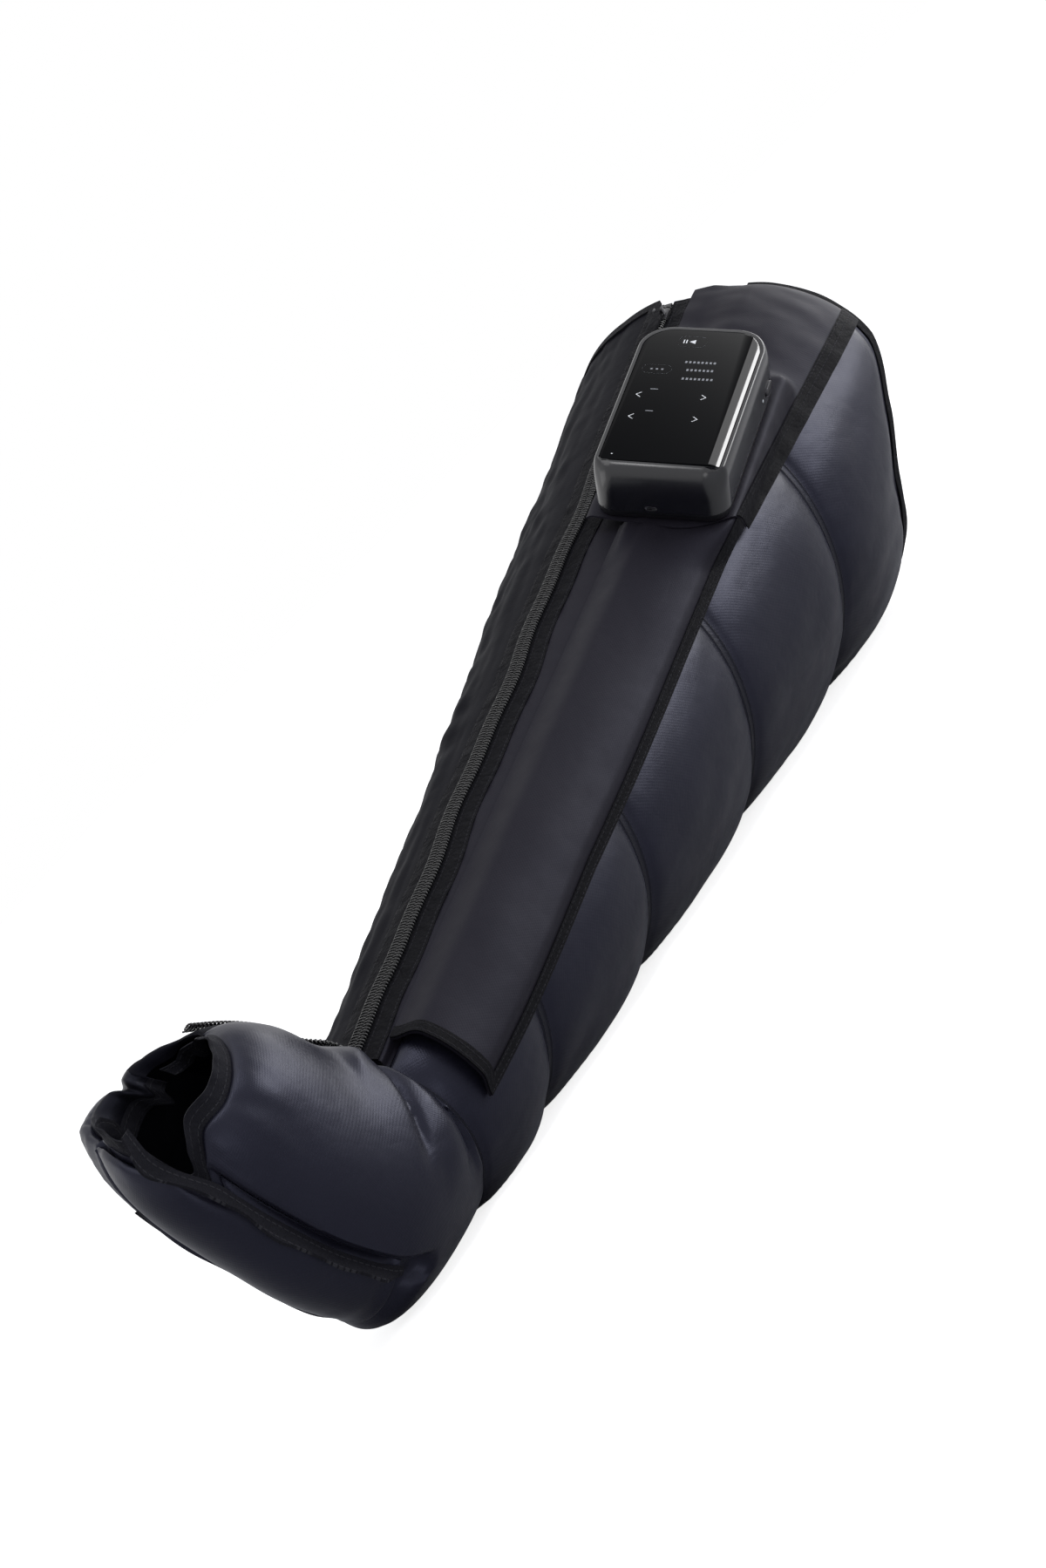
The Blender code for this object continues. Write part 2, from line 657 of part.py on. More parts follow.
def make_pull(frame):
    """The soft tab that hangs from the slider towards the foot."""
    half = PULL_WIDTH / 2
    eye = PIN_RADIUS + GAP
    tab = rounded_outline(PULL_LENGTH, PULL_WIDTH, half * PULL_CORNER_SHARE, 4)
    bm = bmesh.new()
    low = -PULL_THICK / 2
    add_stack(bm, [(low, tab), (low + PULL_THICK, tab)])
    shift = Matrix.Translation((-PULL_LENGTH / 2 + 2 * eye, 0, 0))
    bm.transform(shift)
    made = add_object("zip_pull_tab", bm, "ribbon", frame)
    inner = LUG_OUT - LUG_THICK - GAP
    made_cut = cutter("pull_waist", box_mesh((-2 * LUG_LENGTH, 2 * LUG_LENGTH), (inner, half + OVERRUN), (-OVERRUN, OVERRUN)), frame)
    subtract(made, made_cut)
    far_cut = cutter("pull_waist_far", box_mesh((-2 * LUG_LENGTH, 2 * LUG_LENGTH), (-half - OVERRUN, -inner), (-OVERRUN, OVERRUN)), frame)
    subtract(made, far_cut)
    eye_cut = cutter("pull_eye", pin_mesh(eye, 2 * PULL_WIDTH), frame)
    subtract(made, eye_cut)


def box_mesh(xs, ys, zs):
    """A bmesh box between two corners."""
    bm = bmesh.new()
    size = Vector((xs[1] - xs[0], ys[1] - ys[0], zs[1] - zs[0]))
    middle = Vector(((xs[0] + xs[1]) / 2, (ys[0] + ys[1]) / 2, (zs[0] + zs[1]) / 2))
    bmesh.ops.create_cube(bm, size=1.0)
    bmesh.ops.scale(bm, vec=size, verts=bm.verts)
    bmesh.ops.translate(bm, vec=middle, verts=bm.verts)
    return bm


def pin_mesh(radius, length, segments=12):
    """A round pin along its own Y axis."""
    bm = bmesh.new()
    turn = Matrix.Rotation(math.radians(90.0), 4, "X")
    bmesh.ops.create_cone(bm, cap_ends=True, segments=segments, radius1=radius, radius2=radius, depth=length, matrix=turn)
    return bm


def barrel_mesh(radius, low, high, segments=16, top_radius=None):
    """A round barrel along its own Z axis."""
    bm = bmesh.new()
    top = radius if top_radius is None else top_radius
    lift = Matrix.Translation((0, 0, (low + high) / 2))
    bmesh.ops.create_cone(
        bm, cap_ends=True, segments=segments, radius1=radius, radius2=top, depth=high - low, matrix=lift
    )
    return bm


def rounded_outline(length, width, radius, steps, foot_radius=None):
    """Points of a rectangle with round corners, counter-clockwise, centred on the origin."""
    points = []
    near = radius if foot_radius is None else foot_radius
    corners = ((1, 1, 0, radius), (-1, 1, 90, near), (-1, -1, 180, near), (1, -1, 270, radius))
    for sx, sy, start, radius in corners:
        middle = Vector((sx * (length / 2 - radius), sy * (width / 2 - radius)))
        for k in range(steps + 1):
            turn = math.radians(start + 90.0 * k / steps)
            points.append(middle + Vector((math.cos(turn), math.sin(turn))) * radius)
    return points


def add_stack(bm, levels):
    """A closed body through outlines at rising heights."""
    rings = []
    for height, outline in levels:
        rings.append([bm.verts.new((p[0], p[1], height)) for p in outline])
    bm.faces.new(list(reversed(rings[0])))
    bm.faces.new(rings[-1])
    for low, high in zip(rings[:-1], rings[1:]):
        for k in range(len(low)):
            n = (k + 1) % len(low)
            bm.faces.new((low[k], low[n], high[n], high[k]))
    return bm


def cutter(name, bm, matrix):
    """A hidden body that cuts another."""
    made = add_object(name + "_cutter", bm, "plastic", matrix)
    made.hide_render = True
    made.display_type = "WIRE"
    return made


def boolean(body, other, operation):
    """Add a Boolean modifier for another object."""
    change = body.modifiers.new(other.name, "BOOLEAN")
    change.operation = operation
    change.object = other
    change.solver = "EXACT"


def subtract(body, other):
    """Cut one body with another."""
    boolean(body, other, "DIFFERENCE")


def join(body, bm, matrix):
    """Fuse a further shape into a body."""
    boolean(body, cutter(body.name + "_part_" + str(len(body.modifiers)), bm, matrix), "UNION")


def surface_frame(x, angle, level, twist=0.0):
    """A frame on the leg: its X along the leg, its Y towards the shin and its Z outwards."""
    step = LEG_STEP
    ahead = (leg_point(x + step, angle, level) - leg_point(x - step, angle, level)).normalized()
    side = leg_point(x, angle + 1.0, level) - leg_point(x, angle - 1.0, level)
    side = (side - ahead * side.dot(ahead)).normalized()
    out = leg_point(x, angle, level + step) - leg_point(x, angle, level)
    normal = ahead.cross(side)
    if normal.dot(out) < 0:
        normal = -normal
    side = normal.cross(ahead)
    frame = Matrix((ahead, side, normal)).transposed().to_4x4()
    frame.translation = leg_point(x, angle, level)
    return frame @ Matrix.Rotation(math.radians(twist), 4, "Z")


def flap_edge(x):
    """Angle of the cover flap's loose edge at a place along the leg."""
    return along(FLAP_EDGE_PLACES, FLAP_EDGE_ANGLES, x)


def flap_level(share):
    """Level of the cover flap's under face at a share of its width from its root."""
    rise = min(share / FLAP_RISE_SHARE, 1.0)
    rise = rise * rise * (3 - 2 * rise)
    fall = min(max((share - FLAP_FALL_SHARE) / (1 - FLAP_FALL_SHARE), 0.0), 1.0)
    fall = fall * fall * (3 - 2 * fall)
    root = FRONT_LEVEL - CLOTH
    return root + (FLAP_RISE - root) * rise - (FLAP_RISE - 2 * LAYER_GAP) * fall


def flap_point(along_share, across_share, level):
    """A point on the cover flap: along it from its lower end, and across it from its root."""
    x = FLAP_BOTTOM_X + (FLAP_TOP_X - FLAP_BOTTOM_X) * along_share
    angle = FLAP_ROOT_ANGLE + (flap_edge(x) - FLAP_ROOT_ANGLE) * across_share
    return leg_point(x, angle, flap_level(across_share) + level)


def make_flap():
    """The long cloth cover over the hoses, and the ribbon round its loose edges."""
    frame = surface_frame(FLAP_BOTTOM_X, FLAP_ROOT_ANGLE, FRONT_LEVEL - CLOTH)
    along_shares = spread(0.0, 1.0, 10)

    def place(along_share, across_share, side):
        return flap_point(along_share, across_share, FLAP_THICK if side else 0.0)

    smooth(slab("cover_flap", "flap", along_shares, FLAP_ACROSS_SHARES, place, frame))
    inner_along = RIBBON_WIDTH / (FLAP_TOP_X - FLAP_BOTTOM_X)
    inner_across = FLAP_ACROSS_SHARES[-3]
    steps = [(s, 1.0) for s in reversed(along_shares)]
    steps += [(0.0, s) for s in reversed(FLAP_ACROSS_SHARES[:-1])]

    def ribbon(step, share, side):
        edge = Vector(steps[step])
        inner = Vector((max(edge.x, inner_along), min(edge.y, inner_across)))
        spot = edge.lerp(inner, share)
        return flap_point(spot.x, spot.y, FLAP_THICK + LAYER_GAP + (RIBBON_THICK if side else 0.0))

    slab("cover_flap_ribbon", "ribbon", list(range(len(steps))), (0.0, 0.5, 1.0), ribbon, frame)


def make_flap_end():
    """The upper end of the flap's cloth, which is sewn down below the pocket panel."""
    across_shares = spread(FLAP_END_SHARE, 1.0, 8)

    def place(along_share, across_share, side):
        x = FLAP_TOP_X
        for _ in range(3):
            angle = FLAP_ROOT_ANGLE + (flap_edge(x) - FLAP_ROOT_ANGLE) * across_share
            first = FLAP_TOP_X + 2 * GAP
            x = first + (panel_bottom(angle) - 2 * GAP - first) * along_share
        level = flap_level(across_share)
        return leg_point(x, angle, level + FLAP_THICK if side else level)

    smooth(slab("flap_top_end", "flap", spread(0.0, 1.0, 4), across_shares, place))


def unit_frame():
    """The control unit's own frame: its underside's middle, X towards the thigh, Z away from the leg."""
    tilt = Matrix.Rotation(math.radians(UNIT_ROLL), 4, "X")
    return surface_frame(UNIT_X, UNIT_ANGLE, PANEL_LIFT, UNIT_TWIST) @ tilt


def panel_level(x, angle, frame, back):
    """Level of the pocket panel's upper face: flat under the unit, and falling to the leg round it."""
    root = FRONT_LEVEL + LAYER_GAP + CLOTH
    share = min(max((angle - PANEL_START_ANGLE - PANEL_FLAT) / PANEL_RISE_ANGLE, 0.0), 1.0)
    base = root + (PANEL_REST - root) * share * share * (3 - 2 * share)
    foot = leg_point(x, angle, 0.0)
    out = leg_point(x, angle, 1.0) - foot
    normal = frame.col[2].to_3d()
    height = (frame.translation - foot).dot(normal) / out.dot(normal)
    spot = back @ leg_point(x, angle, height)
    beyond = Vector((max(abs(spot.x) - UNIT_LENGTH / 2, 0.0), max(abs(spot.y) - UNIT_WIDTH / 2, 0.0))).length
    mask = max(1.0 - beyond / PANEL_FALL, 0.0)
    mask = mask * mask * (3 - 2 * mask)
    level = base + max(height - base, 0.0) * mask
    start = seam_place(THIGH_SEAM_X, angle)
    share = (x - start) / (panel_top(angle) - start)
    edge = max(PANEL_HEM_LEVEL, front_level(angle) + CLOTH + 2 * LAYER_GAP)
    return edge + (level - edge) * crown(min(max(share, 0.5), 1.0))


def panel_top(angle):
    """Where the pocket panel's upper edge lies at an angle round the leg."""
    return hem_place(angle) - HEM_RIBBON / 2


def panel_bottom(angle):
    """Where the pocket panel's lower edge lies at an angle round the leg."""
    share = min(max((angle - UNIT_ANGLE) / (PANEL_END_ANGLE - UNIT_ANGLE), 0.0), 1.0)
    return PANEL_BOTTOM_X + PANEL_SLANT * share ** PANEL_SLANT_POWER


def make_panel():
    """The cloth panel that carries the control unit, with the hole for its dock."""
    frame = unit_frame()
    back = frame.inverted()
    angles = spread(PANEL_START_ANGLE, PANEL_END_ANGLE, PANEL_ANGLES)

    def place(share, angle, side):
        x = panel_bottom(angle) + (panel_top(angle) - panel_bottom(angle)) * share
        level = panel_level(x, angle, frame, back)
        return leg_point(x, angle, level if side else level - CLOTH)

    panel = smooth(slab("unit_panel", "flap", PANEL_SHARES, angles, place))
    hole = rounded_outline(BOSS_LENGTH + 2 * GAP, BOSS_WIDTH + 2 * GAP, BOSS_CORNER + GAP, 3)
    bm = add_stack(bmesh.new(), [(-UNIT_HEIGHT, hole), (UNIT_HEIGHT, hole)])
    bm.transform(Matrix.Translation((BOSS_ALONG, BOSS_ACROSS, 0)))
    subtract(panel, cutter("panel_hole", bm, frame))

    def ribbon(share, angle, side):
        x = panel_bottom(angle) + (panel_top(angle) - panel_bottom(angle)) * share
        level = panel_level(x, angle, frame, back) + LAYER_GAP
        return leg_point(x, angle, level + (RIBBON_THICK if side else 0.0))

    step = angles[1] - angles[0]
    edges = (*angles[-3:], PANEL_END_ANGLE + step / 2)
    slab("unit_panel_ribbon", "ribbon", PANEL_SHARES, edges, ribbon)


def make_hem():
    """The ribbon round the thigh opening."""
    angles = rounded_spread(CHAMBER_START, CHAMBER_END, CHAMBER_ANGLES)

    def place(share, angle, side):
        x = hem_place(angle) - HEM_RIBBON / 2 + LAYER_GAP + (HEM_RIBBON - LAYER_GAP) * share
        level = -SEAM_DEPTH - WEB / 2
        return leg_point(x, angle, level + (HEM_THICK / 2 if side else -HEM_THICK / 2))

    return slab("thigh_hem_ribbon", "ribbon", (0.0, 1.0), angles, place)


def make_dock():
    """The plate on the pocket panel that the unit plugs on to, with its air boss through the panel."""
    frame = unit_frame()
    plate = rounded_outline(DOCK_LENGTH, DOCK_WIDTH, DOCK_CORNER, 5)
    low = GAP + DOCK_SEAT
    dock = add_object("dock_plate", add_stack(bmesh.new(), [(low, plate), (DOCK_THICK, plate)]), "plastic", frame)
    boss = rounded_outline(BOSS_LENGTH, BOSS_WIDTH, BOSS_CORNER, 3)
    bm = add_stack(bmesh.new(), [(-BOSS_DEPTH, boss), (DOCK_THICK / 2, boss)])
    bm.transform(Matrix.Translation((BOSS_ALONG, BOSS_ACROSS, 0)))
    join(dock, bm, frame)
    return dock


def scaled_outline(inset, corner=None):
    """The control unit's outline, drawn in by an inset."""
    radius = (UNIT_CORNER if corner is None else corner) - inset
    nose = (NOSE_CORNER if corner is None else corner) - inset
    return rounded_outline(UNIT_LENGTH - 2 * inset, UNIT_WIDTH - 2 * inset, radius, 7, nose)


def glass_outline(grow):
    """The display glass's outline, grown by a margin: round at the thigh end and cut straight at the nose."""
    length = GLASS_LENGTH + 2 * grow
    width = GLASS_WIDTH + 2 * grow
    outline = rounded_outline(length, width, GLASS_CORNER + grow, 6, GLASS_FOOT_CORNER + max(grow, -GLASS_FOOT_CORNER / 2))
    return [p + Vector((GLASS_ALONG, 0.0)) for p in outline]


def make_unit():
    """The control unit's shells and glass."""
    frame = unit_frame()
    bm = add_stack(bmesh.new(), [(BASE_LOW, scaled_outline(BASE_DRAFT)), (SPLIT_HEIGHT, scaled_outline(0.0))])
    base = add_object("unit_base", bm, "plastic", frame)
    pocket = rounded_outline(DOCK_LENGTH + 2 * GAP, DOCK_WIDTH + 2 * GAP, DOCK_CORNER + GAP, 5)
    bm = add_stack(bmesh.new(), [(-OVERRUN, pocket), (DOCK_THICK + GAP, pocket)])
    subtract(base, cutter("dock_pocket", bm, frame))

    levels = []
    for height, inset, foot_inset in zip(FRAME_HEIGHTS, FRAME_INSETS, NOSE_INSETS):
        outline = [p + Vector((foot_inset if p.x < 0 else 0.0, 0.0)) for p in scaled_outline(inset)]
        levels.append((max(height, SPLIT_HEIGHT + GAP), outline))
    bm = add_stack(bmesh.new(), levels)
    shell = smooth(add_object("unit_frame", bm, "shell", frame), math.radians(30.0))
    cavity = [
        (SPLIT_HEIGHT - OVERRUN, scaled_outline(UNIT_WALL, CAVITY_CORNER)),
        (CAVITY_TOP, scaled_outline(UNIT_WALL * 2, CAVITY_CORNER)),
    ]
    subtract(shell, cutter("unit_cavity", add_stack(bmesh.new(), cavity), frame))
    seat = glass_outline(GAP)
    window = glass_outline(-LEDGE)
    bm = add_stack(bmesh.new(), [(GLASS_LOW - GAP, seat), (UNIT_HEIGHT + OVERRUN, seat)])
    subtract(shell, cutter("glass_seat", bm, frame))
    bm = add_stack(bmesh.new(), [(CAVITY_TOP - OVERRUN, window), (UNIT_HEIGHT + OVERRUN, window)])
    subtract(shell, cutter("glass_window", bm, frame))
    subtract(shell, cutter("button_hole", wall_slot(BUTTON_LENGTH + 2 * GAP, BUTTON_HEIGHT + 2 * GAP), button_frame(frame)))
    subtract(shell, cutter("lamp_hole", wall_slot(LAMP_SIZE + 2 * GAP, LAMP_SIZE + 2 * GAP), lamp_frame(frame)))
    subtract(shell, cutter("port_hole", wall_slot(PORT_WIDTH + 2 * GAP, PORT_HEIGHT + 2 * GAP), port_frame(frame)))

    edge = glass_outline(0.0)
    levels = [(GLASS_LOW, edge), (UNIT_HEIGHT - GLASS_ROUND / 2, edge), (UNIT_HEIGHT, glass_outline(-GLASS_ROUND))]
    add_object("unit_glass", add_stack(bmesh.new(), levels), "glass", frame)


def wall_slot(length, height):
    """A rounded slot cutter along its own Z axis."""
    outline = rounded_outline(length, height, height / 2 * SLOT_ROUND_SHARE, 4)
    return add_stack(bmesh.new(), [(-SLOT_REACH, outline), (SLOT_REACH, outline)])


def side_frame(frame, along_unit, across_unit, height, turn):
    """A frame on a side wall of the unit, its Z outwards and its X along the wall."""
    stand = Matrix.Rotation(math.radians(90.0), 4, "X")
    swing = Matrix.Rotation(math.radians(turn), 4, "Z")
    return frame @ Matrix.Translation((along_unit, across_unit, height)) @ swing @ stand


def button_frame(frame):
    """Frame of the side button, on the wall that faces the calf."""
    return side_frame(frame, BUTTON_ALONG, -UNIT_WIDTH / 2, BUTTON_LEVEL, 0.0)


def lamp_frame(frame):
    """Frame of the small charge lamp beside the button."""
    return side_frame(frame, LAMP_ALONG, -UNIT_WIDTH / 2, BUTTON_LEVEL, 0.0)


def port_frame(frame):
    """Frame of the charging port, on the wall that faces the foot."""
    return side_frame(frame, -UNIT_LENGTH / 2, PORT_ACROSS, PORT_LEVEL, -90.0)


def make_controls():
    """Side button, charge lamp and charging port."""
    frame = unit_frame()
    cap = rounded_outline(BUTTON_LENGTH, BUTTON_HEIGHT, BUTTON_HEIGHT / 2 * SLOT_ROUND_SHARE, 4)
    small = rounded_outline(BUTTON_LENGTH - BUTTON_PROUD, BUTTON_HEIGHT - BUTTON_PROUD, BUTTON_HEIGHT / 4, 4)
    bm = add_stack(bmesh.new(), [(-BUTTON_DEPTH, cap), (BUTTON_PROUD / 2, cap), (BUTTON_PROUD, small)])
    button = add_object("side_button", bm, "shell", button_frame(frame))
    for k in range(BUTTON_GROOVES):
        at = (k - (BUTTON_GROOVES - 1) / 2) * BUTTON_LENGTH / (BUTTON_GROOVES + 1)
        half = BUTTON_GROOVE / 2
        bm = box_mesh((at - half, at + half), (-BUTTON_HEIGHT, BUTTON_HEIGHT), (BUTTON_PROUD - BUTTON_GROOVE, OVERRUN))
        subtract(button, cutter("button_groove_" + str(k), bm, button_frame(frame)))
    lamp = barrel_mesh(LAMP_SIZE / 2, -UNIT_WALL, LAMP_PROUD, 12)
    smooth(add_object("charge_lamp", lamp, "lamp", lamp_frame(frame)))
    body = wall_outline(PORT_WIDTH, PORT_HEIGHT)
    bm = add_stack(bmesh.new(), [(-PORT_DEPTH, body), (-PORT_SUNK, body)])
    port = add_object("charging_port", bm, "metal", port_frame(frame))
    bore = wall_outline(PORT_WIDTH - 2 * PORT_WALL, PORT_HEIGHT - 2 * PORT_WALL)
    bm = add_stack(bmesh.new(), [(-PORT_DEPTH + PORT_WALL, bore), (OVERRUN, bore)])
    subtract(port, cutter("port_bore", bm, port_frame(frame)))


def wall_outline(length, height):
    """A rounded slot's outline."""
    return rounded_outline(length, height, height / 2 * SLOT_ROUND_SHARE, 4)


def make_inner_parts():
    """What the control unit holds: battery, boards, pump, valve block and screws."""
    frame = unit_frame()
    floor = SPLIT_HEIGHT + GAP
    x, y, length, width, height = BATTERY
    cell = rounded_outline(length, width, BATTERY_CORNER, 4)
    bm = add_stack(bmesh.new(), [(floor, cell), (floor + height, cell)])
    bm.transform(Matrix.Translation((x, y, 0)))
    add_object("battery", bm, "metal", frame)
    board_low = floor + height + GAP
    board = box_mesh((x - length / 2, x + length / 2), (y - width / 2, y + width / 2), (board_low, board_low + BOARD_THICK))
    add_object("main_board", board, "board", frame)
    touch_top = GLASS_LOW - GAP
    sheet = glass_outline(-2 * LEDGE)
    touch = add_stack(bmesh.new(), [(touch_top - BOARD_THICK, sheet), (touch_top, sheet)])
    add_object("touch_board", touch, "board", frame)
    x, y, length, radius = PUMP
    lie = Matrix.Translation((x, y, floor + radius)) @ Matrix.Rotation(math.radians(90.0), 4, "Z")
    pump = smooth(add_object("air_pump", pin_mesh(radius, length, 20), "metal", frame @ lie))
    head = box_mesh((-radius, radius), (length / 2 - OVERRUN, length / 2 + PUMP_HEAD), (-radius, radius))
    join(pump, head, frame @ lie)
    x, y, length, width, height = VALVES
    block = box_mesh((x - length / 2, x + length / 2), (y - width / 2, y + width / 2), (floor, floor + height))
    valves = add_object("valve_block", block, "plastic", frame)
    for k in range(VALVE_COUNT):
        at = y + (k - (VALVE_COUNT - 1) / 2) * width / VALVE_COUNT
        coil = barrel_mesh(VALVE_RADIUS, floor + height / 2, floor + height + VALVE_RISE, 12)
        join(valves, coil, frame @ Matrix.Translation((x, at, 0)))


def make_screws():
    """The four screws that hold the base to the frame."""
    frame = unit_frame()
    base = bpy.data.objects["unit_base"]
    shell = bpy.data.objects["unit_frame"]
    at_x = UNIT_LENGTH / 2 - SCREW_INSET
    at_y = UNIT_WIDTH / 2 - SCREW_INSET
    for k, (sx, sy) in enumerate(((1, 1), (-1, 1), (-1, -1), (1, -1)), 1):
        spot = frame @ Matrix.Translation((sx * at_x, sy * at_y, 0))
        name = "unit_screw_" + str(k)
        bm = barrel_mesh(SCREW_HEAD_RADIUS, BASE_LOW + GAP, BASE_LOW + SCREW_HEAD, 12)
        screw = add_object(name, bm, "metal", spot)
        join(screw, barrel_mesh(SCREW_RADIUS, BASE_LOW + SCREW_HEAD / 2, SCREW_TOP, 12), spot)
        head_hole = barrel_mesh(SCREW_HEAD_RADIUS + GAP, BASE_LOW - OVERRUN, BASE_LOW + SCREW_HEAD + GAP, 12)
        subtract(base, cutter(name + "_head_hole", head_hole, spot))
        hole = barrel_mesh(SCREW_RADIUS + GAP, BASE_LOW - OVERRUN, SCREW_TOP + GAP, 12)
        hole_cutter = cutter(name + "_hole", hole, spot)
        subtract(base, hole_cutter)
        subtract(shell, hole_cutter)


def make_hose(name, points):
    """An air hose through its points."""
    curve = bpy.data.curves.new(name, "CURVE")
    curve.dimensions = "3D"
    curve.bevel_depth = HOSE_RADIUS
    curve.bevel_resolution = 2
    curve.use_fill_caps = True
    spline = curve.splines.new("POLY")
    spline.points.add(len(points) - 1)
    for vertex, point in zip(spline.points, points):
        vertex.co = (*point, 1.0)
    made = bpy.data.objects.new(name, curve)
    bpy.context.scene.collection.objects.link(made)
    colour, roughness, metallic = FINISHES["rubber"]
    curve.materials.append(finish(name, colour, roughness, metallic))
    return made


def curve_through(points, count):
    """Points along a smooth curve through a few points."""
    stations = list(range(len(points)))
    places = spread(0.0, len(points) - 1.0, count)
    return [Vector([along(stations, [p[axis] for p in points], place) for axis in range(3)]) for place in places]


def make_inlet(name, x, angle):
    """A chamber's inlet fitting, which a hose ends on."""
    frame = surface_frame(x, angle, LAYER_GAP)
    return smooth(add_object(name, barrel_mesh(INLET_RADIUS, 0.0, INLET_HEIGHT, 12, INLET_TOP_RADIUS), "plastic", frame))


def make_air_lines():
    """A hose and an inlet for each chamber up the leg."""
    frame = unit_frame()
    for name, seam_low, seam_high, angle, across in (
        ("knee", SHIN_SEAM_X, KNEE_SEAM_X, HOSE_ANGLES[0], HOSE_ACROSS[0]),
        ("calf_upper", CALF_SEAM_X, SHIN_SEAM_X, HOSE_ANGLES[1], HOSE_ACROSS[1]),
        ("calf_lower", ANKLE_SEAM_X, CALF_SEAM_X, HOSE_ANGLES[2], HOSE_ACROSS[2]),
    ):
        middle = (seam_low + seam_high) / 2
        make_inlet("inlet_" + name, middle, angle)
        start_along = BOSS_ALONG - BOSS_LENGTH / 2 - GAP
        ends = [frame @ Vector((start_along - k * HOSE_LEAD, across, -HOSE_SINK)) for k in range(3)]
        run_start = panel_bottom(angle) - HOSE_RUN_START
        last = middle + INLET_RADIUS + GAP
        run = [leg_point(run_start + (last - run_start) * s, angle, HOSE_LEVEL) for s in (0.0, 0.1, 0.5, 0.9, 1.0)]
        make_hose("air_hose_" + name, curve_through(ends + run, HOSE_POINTS))
    for name, middle, across in (
        ("thigh_lower", THIGH_LOWER_INLET_X, HOSE_ACROSS[0]),
        ("thigh_upper", THIGH_UPPER_INLET_X, HOSE_ACROSS[2]),
    ):
        start_along = BOSS_ALONG + BOSS_LENGTH / 2 + GAP
        start = frame @ Vector((start_along, across, -HOSE_SINK))
        lead = frame @ Vector((start_along + HOSE_LEAD, across, -HOSE_SINK))
        after = frame @ Vector((start_along + 2 * HOSE_LEAD, across, -HOSE_SINK))
        angle = HOSE_ANGLES[0] if name == "thigh_lower" else HOSE_ANGLES[2]
        make_inlet("inlet_" + name, middle, angle)
        last = middle - INLET_RADIUS - GAP
        first = lead.x + (last - lead.x) / 2
        run = [leg_point(x, angle, HOSE_LEVEL) for x in spread(first, last, 3)]
        make_hose("air_hose_" + name, curve_through([start, lead, after] + run, HOSE_POINTS // 2))


def build():
    """Make every sub-part."""
    clear_scene()
    make_leg_chambers()
    make_foot_chamber()
    make_sole_pad()
    make_sole_ribbon("sole_ribbon_near", FIN_ANGLE, 1)
    make_sole_ribbon("sole_ribbon_far", 360.0 - FIN_ANGLE, -1)
    make_toe_rim()
    make_gusset()
    make_facing()
    make_zip()
    make_instep()
    make_slider()
    make_flap()
    make_flap_end()
    make_panel()
    make_hem()
    make_dock()
    make_unit()
    make_controls()
    make_inner_parts()
    make_screws()
    make_air_lines()
    place_origin()


build()
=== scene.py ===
"""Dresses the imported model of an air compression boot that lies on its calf.

Every piece is made in the frame of the CAD model: metres, +X from the foot to the thigh, +Z up
through the shin and -Y towards the control unit. The leg's form repeats the one that the CAD
solids are built on, so each cloth piece lies where its solid does.
"""
import logging
import math
from dataclasses import dataclass, field
from enum import Enum
from typing import Callable, Optional, Sequence

import bmesh
import bpy
from mathutils import Matrix, Vector, noise


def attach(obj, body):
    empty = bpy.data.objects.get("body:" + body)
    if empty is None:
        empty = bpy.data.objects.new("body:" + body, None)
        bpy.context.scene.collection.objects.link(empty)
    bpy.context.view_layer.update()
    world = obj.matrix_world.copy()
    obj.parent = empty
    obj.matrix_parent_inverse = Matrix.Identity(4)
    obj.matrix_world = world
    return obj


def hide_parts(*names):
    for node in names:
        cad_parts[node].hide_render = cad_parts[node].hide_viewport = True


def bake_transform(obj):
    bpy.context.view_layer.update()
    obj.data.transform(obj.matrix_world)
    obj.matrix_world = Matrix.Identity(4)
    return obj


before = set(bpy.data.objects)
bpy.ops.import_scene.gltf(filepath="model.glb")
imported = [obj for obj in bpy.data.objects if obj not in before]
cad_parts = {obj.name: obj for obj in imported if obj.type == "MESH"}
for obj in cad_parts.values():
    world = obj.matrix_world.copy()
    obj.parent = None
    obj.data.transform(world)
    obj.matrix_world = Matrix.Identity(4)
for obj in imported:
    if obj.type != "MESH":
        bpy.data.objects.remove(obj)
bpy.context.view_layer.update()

LOG = logging.getLogger("boot")
Place = Callable[[float, float, int], Vector]
Colour = tuple[float, float, float]
Sockets = dict[str, bpy.types.NodeSocket]


def spread(start: float, end: float, count: int) -> list[float]:
    """Evenly spaced values, both ends included."""
    return [start + (end - start) * k / (count - 1) for k in range(count)]


def eased(share: float) -> float:
    """A share from 0 to 1 with soft ends."""
    share = min(max(share, 0.0), 1.0)
    return share * share * (3.0 - 2.0 * share)


def bell(distance: float, width: float) -> float:
    """A smooth bump: 1 at distance 0, and near 0 beyond twice the width."""
    return math.exp(-((distance / width) ** 2))


def along(places: Sequence[float], values: Sequence[float], place: float) -> float:
    """A smooth curve through a few values.

    Args:
        places: Where the values are given, rising.
        values: The values there.
        place: Where the curve is read.

    Returns:
        The value at the place.
    """
    k = min(max(sum(p <= place for p in places) - 1, 0), len(places) - 2)
    t = min(max((place - places[k]) / (places[k + 1] - places[k]), 0.0), 1.0)
    a, b = values[max(k - 1, 0)], values[k]
    c, d = values[k + 1], values[min(k + 2, len(values) - 1)]
    return b + t * (c - a) / 2 + t * t * (a - 2.5 * b + 2 * c - d / 2) + t ** 3 * (1.5 * (b - c) + (d - a) / 2)


def crown(share: float, power: float = 2.2) -> float:
    """Height of a pillow across itself: 0 at its edges and 1 in the middle."""
    return math.sqrt(max(0.0, 1.0 - abs(2.0 * share - 1.0) ** power))


